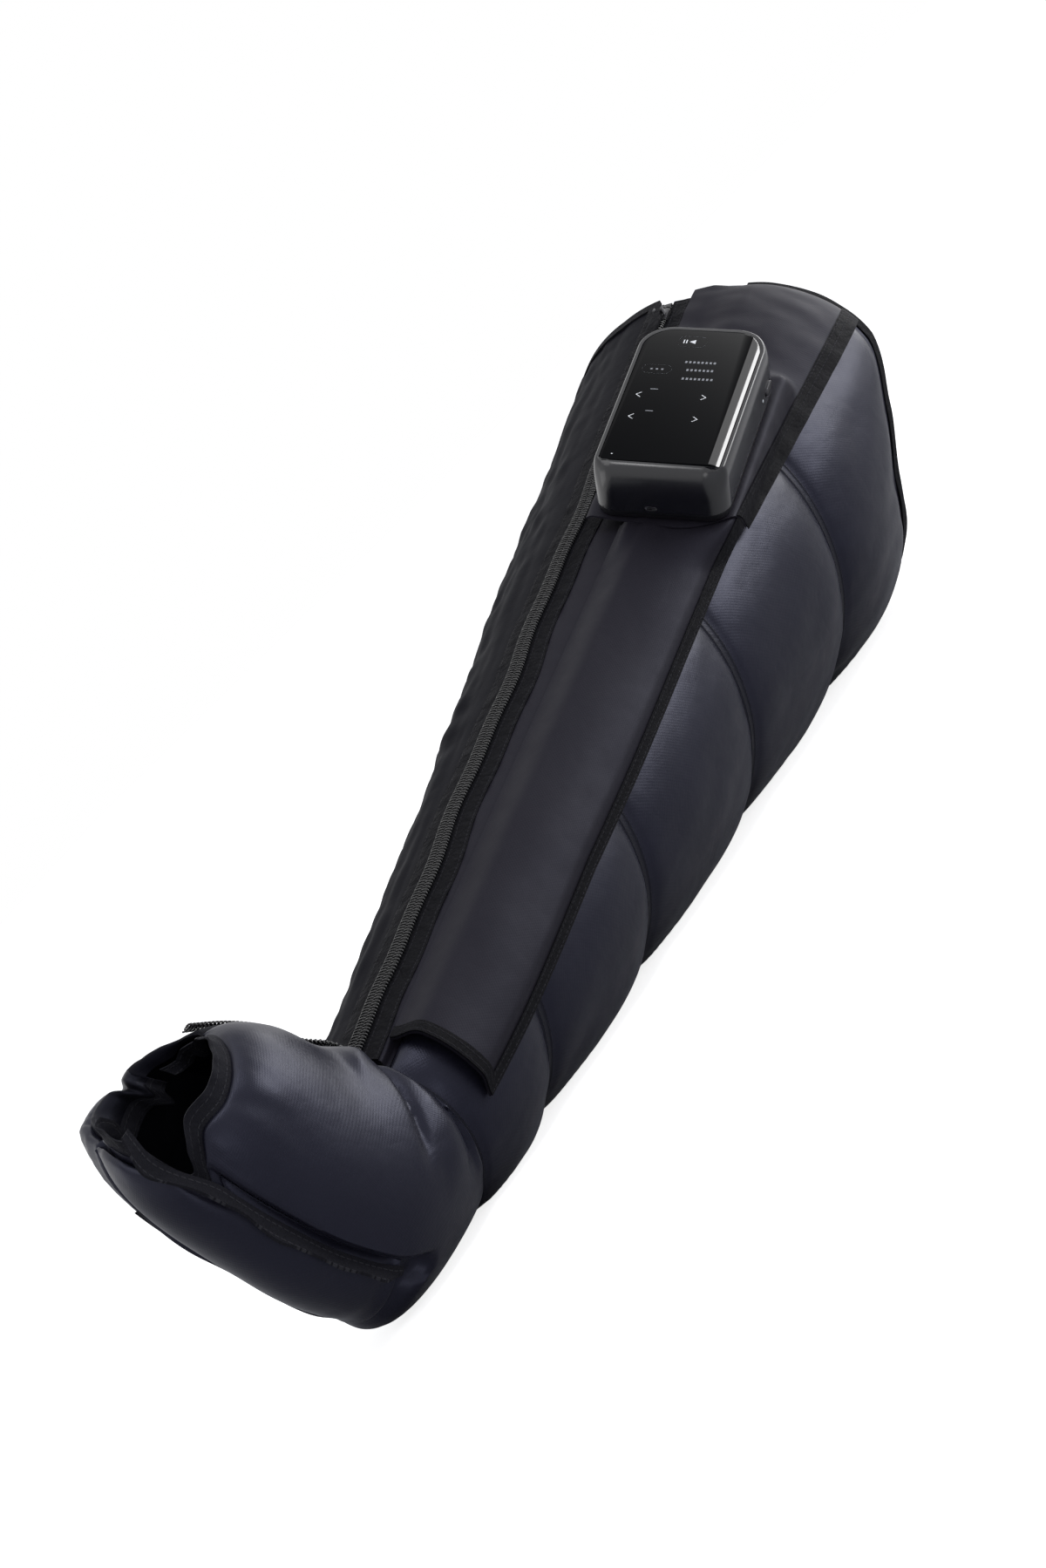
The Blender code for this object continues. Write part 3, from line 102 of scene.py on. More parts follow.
@dataclass(frozen=True)
class LegForm:
    """The boot's outline, as the CAD solids have it. Places are measured from the heel.

    Attributes:
        rest_x: Where the model's origin lies along the leg.
        ankle: Place and mean radius at the ankle.
        thigh: Place and mean radius at the thigh.
        section: Width over the mean diameter.
        sunk: How far the calf is pressed into the floor.
        seams: Places of the welded seams.
        zip_angle: Angle of the zip round the leg, in degrees.
        seam_depth: How far the welds lie inside the outline.
        seam_slant: How far the welds lean along the leg from shin to calf.
        web: Thickness of two welded skins.
        walls: Thickness of a full chamber at the ankle and at the thigh.
        start: Angle at which the chambers start, next to the zip.
        end: Angle at which they end, next to the gusset.
        front: Level of the zip tapes' lower face.
    """

    rest_x: float = 0.467
    ankle: tuple[float, float] = (0.140, 0.0690)
    thigh: tuple[float, float] = (0.900, 0.1443)
    section: float = 0.9765
    sunk: float = 0.004
    seam_depth: float = 0.010
    seam_slant: float = 0.025
    web: float = 0.0014
    weld_gap: float = 0.0003
    seams: tuple[float, ...] = (0.106, 0.231, 0.396, 0.588, 0.772)
    walls: tuple[float, float] = (0.020, 0.030)
    start: float = 46.0
    end: float = 316.0
    end_power: float = 16.0
    hem_angles: tuple[float, ...] = (-180.0, -120.0, -60.0, 0.0, 30.0, 60.0, 88.0, 104.0, 122.0, 150.0, 180.0)
    hem_places: tuple[float, ...] = (0.900, 0.915, 0.925, 0.928, 0.941, 0.962, 0.964, 0.925, 0.892, 0.896, 0.900)
    hem_ribbon: float = 0.010
    zip_angle: float = 23.0
    zip_top: float = 0.926
    zip_low: float = 0.112
    chain_width: float = 0.0090
    tape_width: float = 0.0150
    cloth: float = 0.0012
    front: float = -0.0030
    gusset_start: float = -43.7

    def radius(self, x: float) -> float:
        """Mean radius of the leg at a place along it."""
        share = (x - self.ankle[0]) / (self.thigh[0] - self.ankle[0])
        return self.ankle[1] + (self.thigh[1] - self.ankle[1]) * share

    def point(self, x: float, angle: float, off: float = 0.0) -> Vector:
        """A point on the leg's outline, or off it along its radius.

        Args:
            x: Place along the leg, from the heel.
            angle: Degrees from the shin line, positive towards the control unit.
            off: Distance outside the outline.

        Returns:
            The point in the model's frame.
        """
        turn = math.radians(angle)
        half_width = self.radius(x) * self.section
        half_height = self.radius(x) / self.section
        y = -(half_width + off) * math.sin(turn)
        z = half_height + (half_height + off) * math.cos(turn) - self.sunk
        return Vector((x - self.rest_x, y, z))

    def seam(self, x: float, angle: float) -> float:
        """Where a welded seam crosses an angle round the leg."""
        slant = 0.0 if x == self.seams[0] else self.seam_slant
        return x + slant * math.cos(math.radians(angle))

    def hem(self, angle: float) -> float:
        """Where the thigh hem lies at an angle round the leg."""
        return along(self.hem_angles, self.hem_places, angle - 360.0 if angle > 180.0 else angle)

    def wall(self, x: float) -> float:
        """Thickness of an inflated chamber at a place along the leg."""
        share = (x - self.seams[0]) / (self.thigh[0] - self.seams[0])
        return self.walls[0] + (self.walls[1] - self.walls[0]) * share

    def zip_offset(self, x: float, across: float) -> float:
        """Angle round the leg at a distance across from the zip's middle."""
        return self.zip_angle + math.degrees(across / self.radius(x))

    def zip_wave(self, x: float) -> float:
        """How far the zip strays sideways, as its cloth pulls it."""
        fade = eased((0.86 - x) / 0.12) * eased((x - 0.13) / 0.06)
        return fade * (0.0013 * math.sin(x * 31.0) + 0.0009 * math.sin(x * 67.0 + 1.0))

    def front_level(self, angle: float) -> float:
        """Level of the upper face of the cloth either side of the zip."""
        flat = self.front - self.cloth - 0.0003
        edge = -self.seam_depth
        if angle < self.zip_angle:
            rise = min(max((angle - self.gusset_start) / 22.0, 0.0), 1.0)
            swell = math.sin(math.pi * min(max((angle - self.gusset_start) / (3.0 - self.gusset_start), 0.0), 1.0))
            return edge + (flat - edge) * rise + 0.003 * swell
        return flat + (edge - flat) * min(max((angle - 37.0) / (self.start - 37.0), 0.0), 1.0)

    def frame_at(self, x: float, angle: float, level: float, twist: float = 0.0) -> Matrix:
        """A frame on the leg: its X along the leg, its Y towards the shin and its Z outwards."""
        step = 0.001
        ahead = (self.point(x + step, angle, level) - self.point(x - step, angle, level)).normalized()
        side = self.point(x, angle + 1.0, level) - self.point(x, angle - 1.0, level)
        side = (side - ahead * side.dot(ahead)).normalized()
        normal = ahead.cross(side)
        if normal.dot(self.point(x, angle, level + step) - self.point(x, angle, level)) < 0:
            normal = -normal
        made = Matrix((ahead, normal.cross(ahead), normal)).transposed().to_4x4()
        made.translation = self.point(x, angle, level)
        return made @ Matrix.Rotation(math.radians(twist), 4, "Z")


@dataclass(frozen=True)
class FootForm:
    """The foot's outline from the ankle seam to the toe rim, as the CAD solids have it.

    Attributes:
        leg: The leg's form.
        instep: Places and heights along the instep line.
        sole: Places and heights along the sole line.
        half_widths: Half the foot's width at the same stations.
        rim_angles: Angles at which the toe opening's edge is given.
        rim_shares: The share of the foot's length that the edge reaches there.
        turned_angles: Angles at which the turned-in depth is given.
        turned_depths: How far the cloth is turned in there.
        bend_share: Share of the length over which the cloth turns in.
        bend_turn: How far round it turns, in radians.
        recess: Depth of the seat of the sole pad.
    """

    leg: LegForm
    instep: tuple[tuple[float, float], ...] = (
        (0.106, 0.1275), (0.112, 0.140), (0.1150, 0.151), (0.1145, 0.163),
        (0.109, 0.178), (0.097, 0.194), (0.077, 0.209), (0.054, 0.219),
    )
    sole: tuple[tuple[float, float], ...] = (
        (0.106, -0.004), (0.045, -0.004), (-0.006, 0.008), (-0.038, 0.044),
        (-0.058, 0.086), (-0.071, 0.130), (-0.075, 0.178), (-0.064, 0.221),
    )
    half_widths: tuple[float, ...] = (0.0645, 0.0660, 0.0665, 0.0680, 0.0700, 0.0710, 0.0690, 0.0650)
    blend_share: float = 0.15
    wall: float = 0.016
    length: float = 0.23
    girth: float = 0.068
    rim_angles: tuple[float, ...] = (
        0.0, 34.0, 60.0, 85.0, 108.0, 128.0, 140.0, 150.0, 158.0, 168.0,
        182.0, 200.0, 215.0, 262.0, 294.0, 304.0, 315.0, 338.0, 360.0)
    rim_shares: tuple[float, ...] = (
        0.935, 0.900, 0.865, 0.820, 0.800, 0.812, 0.775, 0.745, 0.855, 0.885,
        0.925, 0.950, 0.955, 0.985, 1.000, 0.950, 1.000, 1.000, 0.935)
    turned_angles: tuple[float, ...] = (0.0, 60.0, 150.0, 200.0, 240.0, 290.0, 304.0, 320.0, 345.0, 360.0)
    turned_depths: tuple[float, ...] = (0.009, 0.003, 0.000, 0.003, 0.013, 0.024, 0.033, 0.026, 0.020, 0.009)
    bend_share: float = 0.16
    bend_turn: float = 2.7
    recess: float = 0.013
    sole_start: float = 0.30
    sole_edge: float = 140.0
    edge: float = 34.0
    chamber_end: float = 0.98

    def point(self, share: float, angle: float, off: float = 0.0) -> Vector:
        """A point on the foot's outline.

        Args:
            share: 0 at the ankle seam and 1 at the toe rim.
            angle: Degrees from the instep line, positive towards the control unit.
            off: Distance outside the outline.

        Returns:
            The point in the model's frame.
        """
        count = len(self.sole)
        stations = [k / (count - 1) for k in range(count)]
        off -= self.slack(share, angle)
        top = Vector([along(stations, [p[axis] for p in self.instep], share) for axis in (0, 1)])
        under = Vector([along(stations, [p[axis] for p in self.sole], share) for axis in (0, 1)])
        half_width = along(stations, self.half_widths, share)
        middle = (top + under) / 2
        half_depth = (top - middle).length
        rise = (top - middle) / half_depth
        turn = math.radians(angle)
        up = rise * ((half_depth + off) * math.cos(turn))
        x = middle.x + up.x - self.leg.rest_x
        spot = Vector((x, -(half_width + off) * math.sin(turn), middle.y + up.y))
        spot += Vector((-0.22, 0.0, 0.975)) * (self.length * max(share - 1.0, 0.0))
        seam = self.leg.point(self.leg.seams[0] - self.leg.weld_gap / 2, angle, off)
        return seam.lerp(spot, min(share / self.blend_share, 1.0))

    def slack(self, share: float, angle: float) -> float:
        """How far the soft foot has sunk in at a place, over the instep and along the far edge of the sole."""
        turned = angle % 360.0
        from_top = (turned - 18.0 + 180.0) % 360.0 - 180.0
        over = 0.012 * bell(from_top, 58.0) * eased((share - 0.25) / 0.3) * eased((1.15 - share) / 0.3)
        under = 0.014 * bell(turned - 214.0, 40.0) * eased((share - 0.25) / 0.35)
        return over + under

    def rim(self, angle: float) -> float:
        """The share at which the toe opening's edge lies at an angle."""
        return along(self.rim_angles, self.rim_shares, angle % 360.0)

    def turned_in(self, angle: float) -> float:
        """How far the cloth is turned in at the toe opening's edge."""
        return along(self.turned_angles, self.turned_depths, angle % 360.0)

    def laid(self, share: float, angle: float) -> tuple[float, float]:
        """Fit the chamber to the toe opening's slanting, turned-in edge.

        Args:
            share: 0 at the ankle seam and 1 at the opening's edge.
            angle: Degrees from the instep line.

        Returns:
            The share on the outline and how far the skin is turned in there.
        """
        end = self.rim(angle)
        depth = self.turned_in(angle)
        bend = max((share - 1.0 + self.bend_share) / self.bend_share, 0.0)
        if bend == 0.0:
            return end * share, 0.0
        weight = min(depth / 0.016, 1.0)
        arched = math.sin(self.bend_turn * bend)
        reach = bend + (arched - bend) * weight
        inward = depth * (1.0 - math.cos(self.bend_turn * bend)) / (1.0 - math.cos(self.bend_turn))
        return end * (1.0 - self.bend_share + self.bend_share * reach), inward

    def swell(self, share: float, angle: float) -> float:
        """How full the foot chamber is at a place: 0 at its welds and 1 inside them."""
        round_share = (angle - self.edge) / (360.0 - 2 * self.edge)
        return crown(share / self.chamber_end) * crown(round_share, self.leg.end_power)

    def outer(self, share: float, angle: float) -> float:
        """Level of the foot chamber's outer face, with the recess that the sole pad fills."""
        lengthwise = eased((share - self.sole_start + 0.02) / 0.06)
        across = eased((180.0 - self.sole_edge + 1.0 - abs(angle - 180.0)) / 3.0)
        swell = self.swell(share, angle)
        return -self.leg.seam_depth + (self.leg.seam_depth - self.recess * lengthwise * across) * swell


LEG = LegForm()
FOOT = FootForm(LEG)


@dataclass(frozen=True)
class Fold:
    """A fold in cloth, as a rounded ridge along a line on the surface.

    Attributes:
        start: Where it starts, in the surface's two measures.
        end: Where it ends.
        height: How far it stands up, or sinks if negative.
        width: Half its width, in the second measure's units scaled by the surface.
    """

    start: tuple[float, float]
    end: tuple[float, float]
    height: float
    width: float

    def at(self, u: float, v: float) -> float:
        """The fold's height at a point of the surface, both measures in metres."""
        line = Vector(self.end) - Vector(self.start)
        spot = Vector((u, v)) - Vector(self.start)
        share = spot.dot(line) / line.length_squared
        if share < -0.2 or share > 1.2:
            return 0.0
        away = (spot - line * share).length
        return self.height * bell(away, self.width) * eased((share + 0.2) / 0.4) * eased((1.2 - share) / 0.4)


def ripple(u: float, v: float, size: float, seed: float) -> float:
    """Soft random waves from -1 to 1, in metres of size along u and twice that along v."""
    return noise.noise(Vector((u / size, v / size / 2, seed)))


def gathers(distance: float, along_seam: float, reach: float, pitch: float, seed: float) -> float:
    """Short puckers that run off a seam and fade with the distance from it.

    Args:
        distance: Distance from the seam, in metres.
        along_seam: Place along the seam, in metres.
        reach: How far the puckers run.
        pitch: How far apart they are.
        seed: Which set of puckers.

    Returns:
        A height from about -1 to 1.
    """
    wave = noise.noise(Vector((along_seam / pitch, distance / reach * 0.6, seed)))
    fine = noise.noise(Vector((along_seam / pitch * 2.1, distance / reach, seed + 5.0)))
    strength = 0.4 + 0.6 * noise.noise(Vector((along_seam / pitch / 7.0, 0.0, seed + 9.0)))
    return (wave + 0.4 * fine) * strength * math.exp(-distance / reach) * eased(distance / (0.12 * reach))


class Body(Enum):
    """The CAD bodies that pieces ride on."""

    BOOT = "boot"
    UNIT = "control_unit"
    BUTTON = "side_button"
    SLIDER = "slider"
    PULL = "pull_tab"
    COVER = "cover"


def measured(points: list[list[Vector]]) -> list[list[tuple[float, float]]]:
    """Distances in metres along both directions of a grid of points."""
    rows, columns = len(points), len(points[0])
    made = [[(0.0, 0.0)] * columns for _ in range(rows)]
    for i in range(rows):
        for j in range(columns):
            u = made[i - 1][j][0] + (points[i][j] - points[i - 1][j]).length if i else 0.0
            v = made[i][j - 1][1] + (points[i][j] - points[i][j - 1]).length if j else 0.0
            made[i][j] = (u, v)
    return made


def skin(us: Sequence[float], vs: Sequence[float], place: Place) -> bmesh.types.BMesh:
    """A closed cloth solid over a grid, with its UV map in metres. Its inner face has the second material.

    Args:
        us: Values of the first measure.
        vs: Values of the second measure.
        place: Gives the point of the lower face (side 0) or the upper face (side 1).

    Returns:
        The solid, its faces outwards.
    """
    bm = bmesh.new()
    layer = bm.loops.layers.uv.new("UVMap")
    bmesh.ops.create_grid(bm, x_segments=len(us) - 1, y_segments=len(vs) - 1, size=0.5)
    grown = bmesh.ops.extrude_face_region(bm, geom=bm.faces[:], use_keep_orig=True)
    top = {e for e in grown["geom"] if isinstance(e, bmesh.types.BMVert)}
    points = [[place(u, v, 1) for v in vs] for u in us]
    flat = measured(points)
    marks = {}
    for vert in bm.verts:
        i = round((vert.co.x + 0.5) * (len(us) - 1))
        j = round((vert.co.y + 0.5) * (len(vs) - 1))
        marks[vert] = flat[i][j]
        vert.co = points[i][j] if vert in top else place(us[i], vs[j], 0)
    for face in bm.faces:
        face.material_index = 0 if any(v in top for v in face.verts) else 1
        for loop in face.loops:
            loop[layer].uv = marks[loop.vert]
    bmesh.ops.recalc_face_normals(bm, faces=bm.faces)
    return bm


def finished(name: str, bm: bmesh.types.BMesh, look: bpy.types.Material, body: Optional[Body],
             nodes: Sequence[str] = (), sharp: float = 50.0,
             lining: Optional[bpy.types.Material] = None) -> bpy.types.Object:
    """Turn a bmesh into a piece that rides on a body.

    Args:
        name: The piece's name.
        bm: Its shape, which is freed.
        look: Its material.
        body: What it rides on, or None to leave the piece unattached, its shape baked in place.
        nodes: The CAD nodes that it stands for.
        sharp: Angle in degrees past which an edge stays sharp.
        lining: The second material, or None where the piece has one.

    Returns:
        The new object.
    """
    mesh = bpy.data.meshes.new(name)
    if lining is None:
        for face in bm.faces:
            face.material_index = 0
    bm.to_mesh(mesh)
    bm.free()
    mesh.shade_smooth()
    mesh.set_sharp_from_angle(angle=math.radians(sharp))
    mesh.materials.append(look)
    if lining is not None:
        mesh.materials.append(lining)
    made = bpy.data.objects.new(name, mesh)
    bpy.context.scene.collection.objects.link(made)
    if body is None:
        start, end = LEG.point(0.646, 60.0), LEG.point(0.598, 60.0)
        tuple(start)
        tuple(end)
        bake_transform(made)
    else:
        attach(made, body.value)
    if nodes:
        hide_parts(*nodes)
    LOG.info("%s: %d faces", name, len(mesh.polygons))
    return made


class Graph:
    """A short way to fill one node tree."""

    def __init__(self, tree: bpy.types.NodeTree) -> None:
        """Keep the tree."""
        self.tree = tree

    def add(self, kind: str, **settings: object) -> bpy.types.Node:
        """Add a node and set its own settings."""
        node = self.tree.nodes.new("ShaderNode" + kind)
        for key, value in settings.items():
            setattr(node, key, value)
        return node

    def join(self, source: bpy.types.NodeSocket, target: bpy.types.NodeSocket) -> None:
        """Link one socket to another."""
        self.tree.links.new(source, target)

    def maths(self, operation: str, first: object, second: object = 0.0, third: object = 0.0) -> bpy.types.NodeSocket:
        """A Math node fed by sockets or plain numbers.

        Args:
            operation: The node's operation.
            first: Its first input.
            second: Its second input.
            third: Its third input.

        Returns:
            The node's output.
        """
        node = self.add("Math", operation=operation)
        for socket, value in zip(node.inputs, (first, second, third)):
            if isinstance(value, bpy.types.NodeSocket):
                self.join(value, socket)
            else:
                socket.default_value = value
        return node.outputs[0]

    def noise(self, vector: bpy.types.NodeSocket, scale: float, detail: float = 3.0) -> bpy.types.NodeSocket:
        """Noise from 0 to 1 at a scale in turns a metre."""
        node = self.add("TexNoise", noise_dimensions="3D")
        self.join(vector, node.inputs["Vector"])
        node.inputs["Scale"].default_value = scale
        node.inputs["Detail"].default_value = detail
        return node.outputs["Fac"]

    def mix(self, share: object, first: object, second: object) -> bpy.types.NodeSocket:
        """A mix of two colours, each a socket or a colour."""
        node = self.add("Mix", data_type="RGBA")
        for socket, value in ((node.inputs[0], share), (node.inputs[6], first), (node.inputs[7], second)):
            if isinstance(value, bpy.types.NodeSocket):
                self.join(value, socket)
            elif isinstance(value, tuple):
                socket.default_value = (*value, 1.0)
            else:
                socket.default_value = value
        return node.outputs[2]


def effect(name: str, inputs: dict[str, tuple[str, object]], outputs: dict[str, str],
           fill: Callable[[Graph, Sockets], Sockets]) -> bpy.types.NodeTree:
    """A shader node group with named inputs and outputs.

    Args:
        name: The group's name.
        inputs: Socket type and default for each input.
        outputs: Socket type for each output.
        fill: Adds the nodes and gives the socket for each output.

    Returns:
        The node group.
    """
    tree = bpy.data.node_groups.new(name, "ShaderNodeTree")
    for key, (kind, default) in inputs.items():
        socket = tree.interface.new_socket(key, in_out="INPUT", socket_type="NodeSocket" + kind)
        if default is not None:
            socket.default_value = default
    for key, kind in outputs.items():
        tree.interface.new_socket(key, in_out="OUTPUT", socket_type="NodeSocket" + kind)
    source = tree.nodes.new("NodeGroupInput")
    target = tree.nodes.new("NodeGroupOutput")
    made = fill(Graph(tree), {key: source.outputs[key] for key in inputs})
    for key, socket in made.items():
        tree.links.new(socket, target.inputs[key])
    return tree


class Effects:
    """The shared effects of cloth, thread and moulded parts."""

    def __init__(self) -> None:
        """Build each group once."""
        self.weave = effect(
            "weave", {"Vector": ("Vector", None), "Threads": ("Float", 2500.0)},
            {"Height": "Float", "Thread": "Float"}, self._weave)
        self.crumple = effect(
            "crumple", {"Vector": ("Vector", None), "Turns": ("Float", 30.0)},
            {"Height": "Float", "Tone": "Float"}, self._crumple)
        self.stitch = effect(
            "stitch", {"Vector": ("Vector", None), "Inset": ("Float", 0.002), "Pitch": ("Float", 0.0036)},
            {"Height": "Float", "Mask": "Float"}, self._stitch)
        self.grain = effect(
            "grain", {"Vector": ("Vector", None), "Turns": ("Float", 4000.0)},
            {"Height": "Float", "Patch": "Float"}, self._grain)

    @staticmethod
    def _weave(graph: Graph, inputs: Sockets) -> Sockets:
        """Crossed threads from a UV map in metres."""
        parts = graph.add("SeparateXYZ")
        graph.join(inputs["Vector"], parts.inputs[0])
        warp = graph.maths("SINE", graph.maths("MULTIPLY", parts.outputs["X"], inputs["Threads"]))
        weft = graph.maths("SINE", graph.maths("MULTIPLY", parts.outputs["Y"], inputs["Threads"]))
        cross = graph.maths("MULTIPLY", warp, weft)
        height = graph.maths("MULTIPLY_ADD", cross, 0.5, 0.5)
        rough = graph.noise(inputs["Vector"], 700.0, 2.0)
        return {"Height": graph.maths("ADD", height, graph.maths("MULTIPLY", rough, 0.6)), "Thread": rough}

    @staticmethod
    def _crumple(graph: Graph, inputs: Sockets) -> Sockets:
        """Small creases: folded noise at two sizes."""
        scaled = graph.add("VectorMath", operation="SCALE")
        graph.join(inputs["Vector"], scaled.inputs[0])
        graph.join(inputs["Turns"], scaled.inputs["Scale"])
        broad = graph.noise(scaled.outputs[0], 1.0, 2.0)
        small = graph.noise(scaled.outputs[0], 2.7, 2.0)
        ridge = graph.maths("ABSOLUTE", graph.maths("MULTIPLY_ADD", broad, 2.0, -1.0))
        fine = graph.maths("ABSOLUTE", graph.maths("MULTIPLY_ADD", small, 2.0, -1.0))
        return {"Height": graph.maths("MULTIPLY_ADD", fine, 0.35, ridge), "Tone": broad}

    @staticmethod
    def _stitch(graph: Graph, inputs: Sockets) -> Sockets:
        """A row of stitches along a ribbon, at an inset from its edge."""
        parts = graph.add("SeparateXYZ")
        graph.join(inputs["Vector"], parts.inputs[0])
        away = graph.maths("ABSOLUTE", graph.maths("SUBTRACT", parts.outputs["Y"], inputs["Inset"]))
        line = graph.maths("SUBTRACT", 1.0, graph.maths("DIVIDE", away, 0.00055))
        line = graph.maths("MAXIMUM", line, 0.0)
        beat = graph.maths("FRACT", graph.maths("DIVIDE", parts.outputs["X"], inputs["Pitch"]))
        arch = graph.maths("SINE", graph.maths("MULTIPLY", beat, math.pi))
        dash = graph.maths("GREATER_THAN", arch, 0.45)
        mask = graph.maths("MULTIPLY", dash, graph.maths("MINIMUM", graph.maths("MULTIPLY", line, 2.0), 1.0))
        return {"Height": graph.maths("MULTIPLY", mask, arch), "Mask": mask}

    @staticmethod
    def _grain(graph: Graph, inputs: Sockets) -> Sockets:
        """Fine grain and broad uneven patches of a moulded or lacquered face."""
        scaled = graph.add("VectorMath", operation="SCALE")
        graph.join(inputs["Vector"], scaled.inputs[0])
        graph.join(inputs["Turns"], scaled.inputs["Scale"])
        return {"Height": graph.noise(scaled.outputs[0], 1.0, 2.0), "Patch": graph.noise(inputs["Vector"], 60.0, 4.0)}


EFFECTS = Effects()


def placed(graph: Graph, tree: bpy.types.NodeTree, vector: bpy.types.NodeSocket, **values: float) -> bpy.types.Node:
    """Put an effect into a material, with its vector and its own values."""
    node = graph.add("Group")
    node.node_tree = tree
    graph.join(vector, node.inputs["Vector"])
    for key, value in values.items():
        node.inputs[key].default_value = value
    return node


def principled(name: str, **values: object) -> tuple[bpy.types.Material, Graph, bpy.types.Node]:
    """A new material with its Principled shader's own sockets set.

    Args:
        name: The material's name.
        **values: Values by socket name, with _ for a space.

    Returns:
        The material, its graph and its shader.
    """
    made = bpy.data.materials.new(name)
    made.use_nodes = True
    shader = made.node_tree.nodes["Principled BSDF"]
    for key, value in values.items():
        shader.inputs[key.replace("_", " ")].default_value = (*value, 1.0) if isinstance(value, tuple) else value
    return made, Graph(made.node_tree), shader


def bumped(graph: Graph, shader: bpy.types.Node, *layers: tuple[bpy.types.NodeSocket, float]) -> None:
    """Stack bumps into the shader's normal, each with its depth in metres."""
    last = None
    for height, depth in layers:
        bump = graph.add("Bump")
        bump.inputs["Strength"].default_value = 1.0
        bump.inputs["Distance"].default_value = depth
        graph.join(height, bump.inputs["Height"])
        if last is not None:
            graph.join(last, bump.inputs["Normal"])
        last = bump.outputs["Normal"]
    graph.join(last, shader.inputs["Normal"])


@dataclass(frozen=True)
class ClothFinish:
    """Woven nylon, from satin to matt.

    Attributes:
        name: The material's name.
        dark: Colour at the dark end of its random tone.
        light: Colour at the light end of its random tone.
        roughness: Roughness of the flat cloth.
        sheen: Strength of its soft edge light.
        crease: Depth of the small creases.
        turns: How close the creases lie, in turns a metre.
        thread: Depth of the weave.
        gloss: Strength of its mirror light.
    """

    name: str
    dark: Colour
    light: Colour
    roughness: float
    sheen: float
    crease: float
    turns: float
    thread: float = 0.00004
    gloss: float = 0.5

    def material(self) -> bpy.types.Material:
        """Build the material."""
        made, graph, shader = principled(
            self.name, Sheen_Weight=self.sheen, Sheen_Roughness=0.35, Sheen_Tint=(0.62, 0.66, 1.0),
            Specular_IOR_Level=self.gloss, Specular_Tint=(0.68, 0.71, 1.0))
        spot = graph.add("TexCoord")
        weave = placed(graph, EFFECTS.weave, spot.outputs["UV"])
        crumple = placed(graph, EFFECTS.crumple, spot.outputs["Object"], Turns=self.turns)
        patch = placed(graph, EFFECTS.grain, spot.outputs["Object"], Turns=260.0)
        thread = graph.maths("MULTIPLY", weave.outputs["Thread"], 0.3)
        tone = graph.maths("MULTIPLY_ADD", crumple.outputs["Tone"], 0.7, thread)
        graph.join(graph.mix(tone, self.dark, self.light), shader.inputs["Base Color"])
        rough = graph.maths("MULTIPLY_ADD", patch.outputs["Patch"], 0.14, self.roughness - 0.07)
        graph.join(rough, shader.inputs["Roughness"])
        bumped(graph, shader, (crumple.outputs["Height"], self.crease), (weave.outputs["Height"], self.thread))
        return made


@dataclass(frozen=True)
class RibbonFinish:
    """Ribbed binding tape with rows of stitches along it.

    Attributes:
        name: The material's name.
        colour: The tape's colour.
        thread: The stitches' colour.
        insets: Distance of each row from the edge.
        pitch: Length of one stitch.
        along: Whether the rows run along the UV map's first direction.
        crease: Depth of the small creases.
    """

    name: str
    colour: Colour = (0.0035, 0.0035, 0.0048)
    thread: Colour = (0.016, 0.016, 0.020)
    insets: tuple[float, ...] = (0.0022,)
    pitch: float = 0.0044
    along: bool = True
    crease: float = 0.0008

    def material(self) -> bpy.types.Material:
        """Build the material."""
        made, graph, shader = principled(
            self.name, Roughness=0.62, Sheen_Weight=0.01, Sheen_Roughness=0.4, Sheen_Tint=(0.7, 0.72, 1.0),
            Specular_IOR_Level=0.05)
        spot = graph.add("TexCoord")
        vector = spot.outputs["UV"]
        if not self.along:
            turned = graph.add("Mapping")
            graph.join(vector, turned.inputs["Vector"])
            turned.inputs["Rotation"].default_value = (math.pi, 0.0, math.pi / 2)
            vector = turned.outputs[0]
        weave = placed(graph, EFFECTS.weave, vector, Threads=5200.0)
        crumple = placed(graph, EFFECTS.crumple, spot.outputs["Object"], Turns=90.0)
        dark, light = (tuple(c * share for c in self.colour) for share in (0.6, 1.5))
        colour = graph.mix(weave.outputs["Thread"], dark, light)
        layers = [(crumple.outputs["Height"], self.crease), (weave.outputs["Height"], 0.00012)]
        for inset in self.insets:
            row = placed(graph, EFFECTS.stitch, vector, Inset=inset, Pitch=self.pitch)
            colour = graph.mix(row.outputs["Mask"], colour, self.thread)
            layers.append((row.outputs["Height"], 0.0005))
        graph.join(colour, shader.inputs["Base Color"])
        bumped(graph, shader, *layers)
        return made


